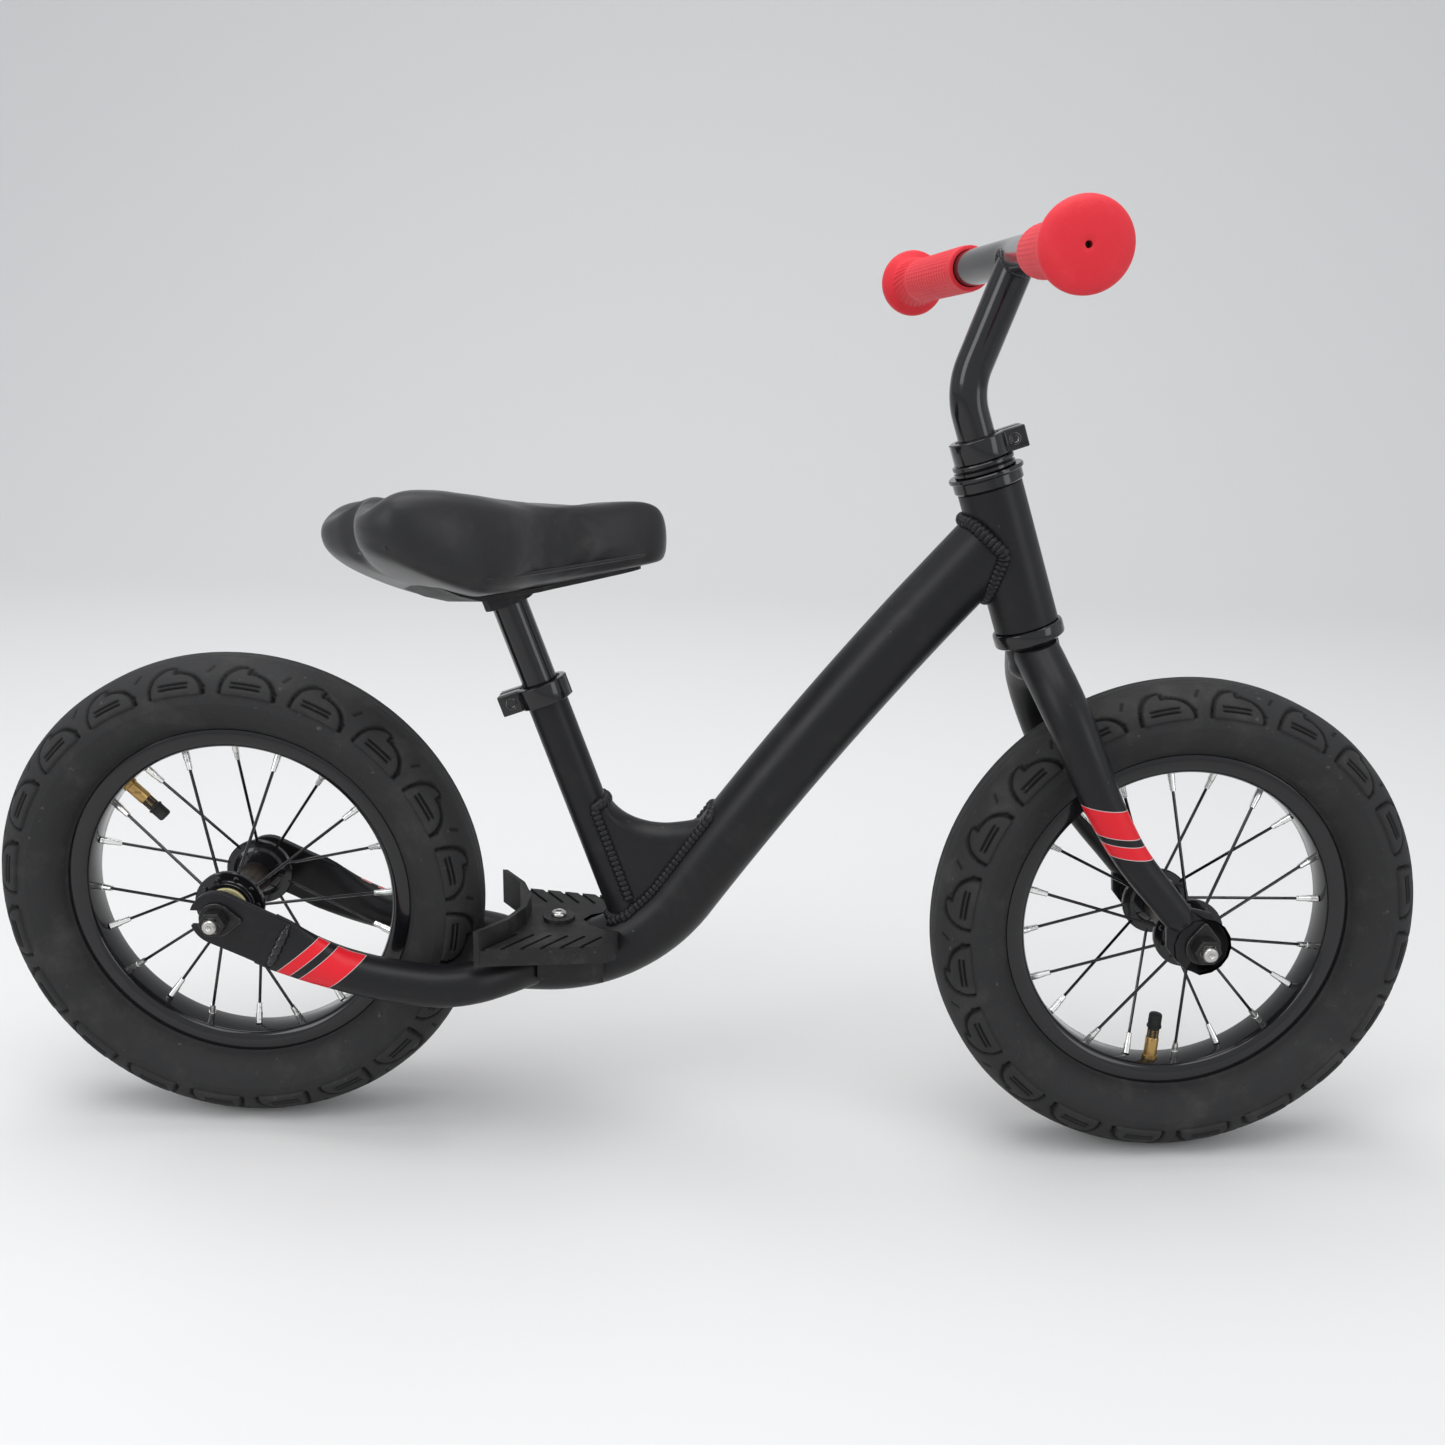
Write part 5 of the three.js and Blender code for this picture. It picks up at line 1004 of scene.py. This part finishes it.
RUBBER = finish_of("tyre_rubber", (0.021, 0.021, 0.0215), (850, 0.45, 0.7, 0.2),
                   [((0.062, 0.06, 0.055), 30, 0.52, 0.3, 0.5), ((0.13, 0.125, 0.112), 190, 0.36, 0.1, 0.4)])
# Painted shade: the tread's grooves, slits, dashes and pins are painted near black by how deep they are cut.
groove_shade_mask = add_node(RUBBER.node_tree, "Attribute", {}, attribute_name="groove")["Fac"]
lay_over(RUBBER, groove_shade_mask, (0.0015, 0.0015, 0.0015))
groove_shade_depths = []


def tread_relief(around, up):
    """Height of the rubber in millimetres, and the part of it that is cut in. around runs along one block's pitch
    from 0 to 43 and up climbs from the block's foot, where the sidewall begins, to the crown."""
    crest = 17
    back = np.where(around < crest, 14.0, 17.5)
    height = np.where(around < crest, 20.0, 15.0)
    edge = np.hypot((around - crest) / back, np.maximum(up, 0) / height)
    outside = (edge - 1) * np.minimum(back, height)
    groove = -1.5 * np.exp(-((outside - 0.7) / 1.05) ** 2) * (up > -0.5)
    notch = np.hypot(around - 20.5, up - 16)
    groove = np.minimum(groove, -1.5 * np.exp(-((np.abs(around - 18) / 1.0) ** 2)) * ((up > 14.6) & (up < 20.2)))
    groove = np.minimum(groove, -1.3 * np.exp(-((notch / 1.4) ** 2)))
    block = (outside < 0) & (up > 0)
    raised = np.where(block, 1.3 * np.clip(1.15 - up / 15, 0, 1), 0)
    ledge = np.where((up <= 0) & (up > -4) & (np.abs(around - 18.7) < 16), -0.5 * (1 + up / 4), 0)
    slits = np.zeros_like(up)
    for row in (4.4, 7.1):
        slit = np.exp(-(((up - row) / 0.62) ** 2)) * (np.abs(around - 17.5) < 9.4)
        slits = np.minimum(slits, -1.3 * slit)
    dash = np.exp(-((((around - 38.5) - 0.5 * (up - 17)) / 0.8) ** 2)) * (np.abs(up - 17.5) < 3)
    pin = np.exp(-(np.hypot(around - 36, up - 5) / 0.8) ** 2)
    cut = groove * (up < 21) + slits - 1.0 * dash - 0.9 * pin
    return raised + ledge + cut, cut


def climb_of(skin):
    """How far each point of the tyre's skin is from its bead, and how far the blocks' foot is."""
    climb = np.concatenate([[0], np.cumsum(np.hypot(*np.diff(skin, axis=0).T))])
    return climb, np.interp(BLOCK_FOOT, skin[:, 0], climb)


def carve_tread(at):
    """Moves the turned tyre's points along its skin's normal by the relief of the tread."""
    skin = np.array(TYRE_OUTSIDE)
    climb, foot = climb_of(skin)
    radius, width = np.hypot(at[:, 0], at[:, 2]), np.abs(at[:, 1])
    up = np.interp(radius, skin[:, 0], climb) - foot
    on_skin = np.abs(width - np.interp(radius, skin[:, 0], skin[:, 1])) < 1.2
    turn = np.arctan2(at[:, 0], at[:, 2]) / (2 * math.pi) * BLOCKS + np.where(at[:, 1] > 0, 0.5, 0)
    lift, cut = tread_relief((turn % 1) * PITCH, up)
    in_tread = (up > -4.2) & (up < 24) & on_skin
    lift = np.where(in_tread, lift, 0)
    lift = lift + np.where(on_skin, 0.45 * np.exp(-(((up + 6.5) / 0.6) ** 2)), 0)
    crown = 0.9 * np.exp(-(((width - 4.6) / 0.9) ** 2)) * (radius > 156)
    lift = lift - np.where(on_skin, crown, 0)
    slope = np.gradient(skin[:, 0], climb), np.gradient(skin[:, 1], climb)
    outwards = -np.interp(up + foot, climb, slope[1]), np.interp(up + foot, climb, slope[0])
    # Keeps how deep each point is cut, for the painted shade in the grooves.
    groove_shade_depths.append(np.where(in_tread, np.clip(-cut / 0.8, 0, 1), 0))
    new_radius = np.minimum(radius + lift * outwards[0], LARGEST_RADIUS)
    new_width = np.minimum(width + lift * outwards[1], LARGEST_HALF_WIDTH)
    moves = np.abs(lift) > 0
    share = np.where(moves, new_radius / radius, np.minimum(1, LARGEST_RADIUS / radius)) * SHRINK
    new_width = np.where(moves, np.sign(at[:, 1]) * new_width, at[:, 1])
    return np.stack([at[:, 0] * share, new_width, at[:, 2] * share], axis=1)


def skin_rows():
    """The tyre's skin from its bead to its crown, with its rows closest together where the tread is."""
    line = smooth_line([(radius, width, 0) for radius, width in TYRE_OUTSIDE], 12)
    skin = np.array([(point.x, point.y) for point, _ in line])
    climb, foot = climb_of(skin)
    wanted = np.concatenate([np.linspace(0, foot - 8, 8), np.arange(foot - 7.2, foot - 0.9, 0.9),
                             np.arange(foot - 0.6, foot + 9, 0.72), np.arange(foot + 9.4, foot + 21.5, 1.0),
                             np.linspace(foot + 22.6, climb[-1], 7)])
    return [(float(np.interp(far, climb, skin[:, 0])), float(np.interp(far, climb, skin[:, 1]))) for far in wanted]


half = skin_rows()
rows = [*half, *[(radius, -width) for radius, width in half[-2::-1]], (104, -9.4), (104, -7.3), (124, -21),
        (138, -24), (151, -8), (151, 8), (138, 24), (124, 21), (104, 7.3), (104, 9.4), half[0]]
shape = drawn(turned, rows, PITCH, share=1 / BLOCKS)
pitch = shape.verts[:] + shape.edges[:] + shape.faces[:]
for i in range(1, BLOCKS):
    copy = bmesh.ops.duplicate(shape, geom=pitch)["geom"]
    bmesh.ops.rotate(shape, cent=(0, 0, 0), matrix=Matrix.Rotation(math.radians(360 / BLOCKS * i), 3, "Y"),
                     verts=[g for g in copy if isinstance(g, bmesh.types.BMVert)])
TYRE_MESH = finished_mesh("tyre", shape, 60, carve_tread)
# Stores the cut depths on the tyre mesh, for the painted shade in its grooves.
TYRE_MESH.attributes.new("groove", "FLOAT", "POINT").data.foreach_set("value", groove_shade_depths[0].astype(np.float32))

# The rims are rolled steel in gloss black. The hub is a steel shell with two flanges; 20 black spokes run from
# heads in its flanges to silver nipples under the rim, and a brass valve stem stands midway between two of them.
BRASS = steel_finish("valve_brass", (0.42, 0.27, 0.1), 0.34)
BRIGHT_PLATING = steel_finish("bright_plated_steel", (0.85, 0.85, 0.83), 0.26)
CAP_PLASTIC = plastic("valve_cap_plastic", (0.012, 0.012, 0.012), 900)
CREAM = plastic("cream_seal_plastic", (0.56, 0.5, 0.27), 600)
SPOKES = 20


def draw_rod(shape, start, end, radius, end_radius=None, sides=8):
    along = end - start
    place = Matrix.Translation((start + end) / 2) @ along.to_track_quat("Z", "Y").to_matrix().to_4x4()
    bmesh.ops.create_cone(shape, cap_ends=True, segments=sides, radius1=radius, radius2=end_radius or radius,
                          depth=along.length, matrix=place)


wall = [(99.2, 9.4), (99.9, 11), (101.6, 12.5), (103.9, 13.3), (106, 13.5), (110.6, 13.5), (111.3, 13.2),
        (111.5, 12.7), (111.3, 12), (110.4, 11.9), (101.4, 9.7)]
rows = [(99.2, -9.4), *wall, *[(radius, -width) for radius, width in wall[::-1]]]
RIM_MESH = finished_mesh("rim", drawn(turned, rows, 180), 40)
flange = [(10.4, 19), (10.4, 26), (13.7, 26.2), (13.7, 34), (15.6, 34), (15.9, 33.6), (15.9, 30.6), (16.4, 30),
          (21.7, 30), (22.3, 29.5), (22.3, 27.5), (21.7, 27), (17.4, 27), (15.4, 25.9), (12.2, 21), (10.6, 19),
          (10.4, 19)]
shape = drawn(turned, flange, 72)
turned(shape, [(radius, -width) for radius, width in flange], 72)
FLANGE_MESH = finished_mesh("flanges", shape, 28)
shape = drawn(turned, [(7.6, 26), (7.6, -26), (10.3, -26), (10.3, 26), (7.6, 26)], 64)
BARREL_MESH = finished_mesh("barrel", shape, 28)
spokes, nipples = bmesh.new(), bmesh.new()
for i in range(SPOKES):
    side = 1 if i % 2 == 0 else -1
    turn = Matrix.Rotation(math.radians(9 + 360 / SPOKES * i), 4, "Y")
    foot, head = turn @ Vector((0, side * 28.5, 18.3)), turn @ Vector((0, side * 2.5, 97.8))
    along = (head - foot).normalized()
    draw_rod(spokes, foot, head - along * 6, 1, sides=10)
    draw_rod(nipples, head - along * 12, head - along * 5.4, 1.75, 2.05, sides=12)
    draw_rod(nipples, head - along * 5.4, head + along * 1.4, 2.3, sides=12)
    knob = turn @ Matrix.Translation((0, side * 30.1, 18.3)) @ Matrix.Diagonal((1, 0.5, 1, 1))
    bmesh.ops.create_uvsphere(spokes, u_segments=12, v_segments=8, radius=1.9, matrix=knob)
SPOKE_MESH = finished_mesh("spokes", spokes)
NIPPLE_MESH = finished_mesh("nipples", nipples)
thread = [(3.55 + 0.3 * (i % 2), 79 + 0.5 * i) for i in range(12)]
shape = drawn(turned, [(0, 78), (3.4, 78), *thread, (4.25, 85.4), (4.25, 97), (4.9, 97.4), (4.9, 99.6), (0, 99.6)],
              28, "Z")
VALVE_MESH = finished_mesh("valve", shape)
shape = drawn(turned, [(0, 67.9), (2.9, 67.9), (3.9, 68.4), (4.3, 69.4), (4.3, 76), (4.75, 76.3), (4.75, 77.6),
                       (4.4, 77.9), (0, 77.9)], 40, "Z")
CAP_MESH = finished_mesh("valve_cap", shape)

# What holds each wheel: a zinc plated steel axle with a cone, a cream dust ring, a locknut, a hooked washer and a
# hexagon nut on both sides. Cones and locknuts are dark with oil, washers and nuts are blacked. Turned or pressed.
def add_axle(prefix, wheel, body, tab_angle):
    thread = [(4.55 + 0.2 * (i % 2), 40 + 0.55 * i) for i in range(47)]
    half = [*thread, (4.3, 66.6), (3.6, 67), (1.8, 67), (1.5, 66.6), (0, 65.4)]
    shape = drawn(turned, [*[(radius, -width) for radius, width in half[::-1]], *half], 32)
    piece(f"{prefix}_axle_threaded", shape, body, ZINC, wheel, [f"{prefix}_axle"], 50)
    for side_name, side in (("left", 1), ("right", -1)):
        def add(name, shape, rides, finish, node, at=wheel, sharp=32):
            stands_for = [f"{prefix}_{node}_{side_name}"]
            piece(f"{prefix}_{name}_{side_name}", shape, rides, finish, at, stands_for, sharp)

        rows = [(5.1, 26.3), (6.6, 26.3), (8.6, 29), (8.6, 36.4), (9.2, 36.6), (9.6, 37), (9.6, 42.8), (9.1, 43.4),
                (8.9, 43.8), (9.4, 44.2), (9.9, 44.6), (9.9, 46.6), (9.4, 47.2), (5.1, 47.2), (5.1, 26.3)]
        shape = drawn(turned, [(radius, side * width) for radius, width in rows], 40)
        add("cone_turned", shape, body, DARK_STEEL, "cone", sharp=28)
        rows = [(9, 31), (13.1, 31), (13.1, 34.6), (12.6, 34.9), (9.6, 34.3), (9, 33.9), (9, 31)]
        shape = drawn(turned, [(radius, side * width) for radius, width in rows], 44)
        add("dust_seal", shape, f"{prefix}_wheel", CREAM, "dust_ring", sharp=28)
        outline = [*arc((0, 0), 10.9, 48, 312, 44), *arc((14.3, 0), 1.7, -48, 48, 8)]
        washer = drawn(draw_plate, outline, *sorted((side * 52.8, side * 54.6)), 0.4)
        turn = wheel @ Matrix.Rotation(-math.radians(tab_angle), 4, "Y")
        add("washer_pressed", washer, body, BLACKED_STEEL, "washer", turn)
        rows = [(5.6, 54.9), (8.66, 54.9), (8.66, 62.4), (7.5, 63.3), (5.6, 63.3), (5.6, 54.9)]
        nut = drawn(turned, [(radius, side * width) for radius, width in rows], 6)
        bmesh.ops.remove_doubles(nut, verts=nut.verts, dist=0.003)
        hard = [edge for edge in nut.edges
                if edge.calc_face_angle(0) > 0.4 and min(corner.co.xz.length for corner in edge.verts) > 6]
        bmesh.ops.bevel(nut, geom=hard, offset=0.35, offset_type="OFFSET", segments=2, profile=0.5, affect="EDGES",
                        material=-1)
        add("hexagon_nut", nut, body, BLACKED_STEEL, "axle_nut")


for prefix, wheel, valve_turn, holder, tab_angle in (
    ("rear", REAR_WHEEL, -46, "frame", 0), ("front", FRONT_WHEEL, 183, "fork", 90),
):
    turned_wheel = wheel @ Matrix.Rotation(math.radians(valve_turn), 4, "Y")
    for name, mesh, finish, slot, stands_for, place in (
        ("tyre_tread", TYRE_MESH, RUBBER, "tyre_rubber", ["tyre"], wheel),
        ("rim_rolled", RIM_MESH, GLOSS_BLACK, "rim_paint", ["rim"], turned_wheel),
        ("hub_flanges", FLANGE_MESH, GLOSS_BLACK, "dark_steel", ["hub"], turned_wheel),
        ("hub_barrel", BARREL_MESH, DARK_STEEL, "dark_steel", [], turned_wheel),
        ("spokes", SPOKE_MESH, GLOSS_BLACK, "dark_steel", [], turned_wheel),
        ("nipples", NIPPLE_MESH, BRIGHT_PLATING, "zinc_steel", [], turned_wheel),
        ("valve_stem", VALVE_MESH, BRASS, "inner_tube_and_air", [], turned_wheel),
        ("valve_cap_moulding", CAP_MESH, CAP_PLASTIC, "cap_plastic", ["valve_cap"], turned_wheel),
    ):
        place_piece(f"{prefix}_{name}", mesh.copy(), f"{prefix}_wheel", finish, place,
                    [f"{prefix}_{node}" for node in stands_for])
    add_axle(prefix, wheel, holder, tab_angle)

# What stays hidden keeps its CAD shape: the rings of balls, the crown race and the inner tubes.
INNER_RUBBER = plastic("inner_tube_rubber", (0.015, 0.015, 0.015), 500)
for name in ("upper_head_bearing", "lower_head_bearing", "crown_race", "rear_ball_ring_left", "rear_ball_ring_right",
             "front_ball_ring_left", "front_ball_ring_right", "rear_inner_tube", "front_inner_tube"):
    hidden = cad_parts[name]
    hidden.data.materials.clear()
    hidden.data.materials.append(INNER_RUBBER if name.endswith("tube") else ZINC)
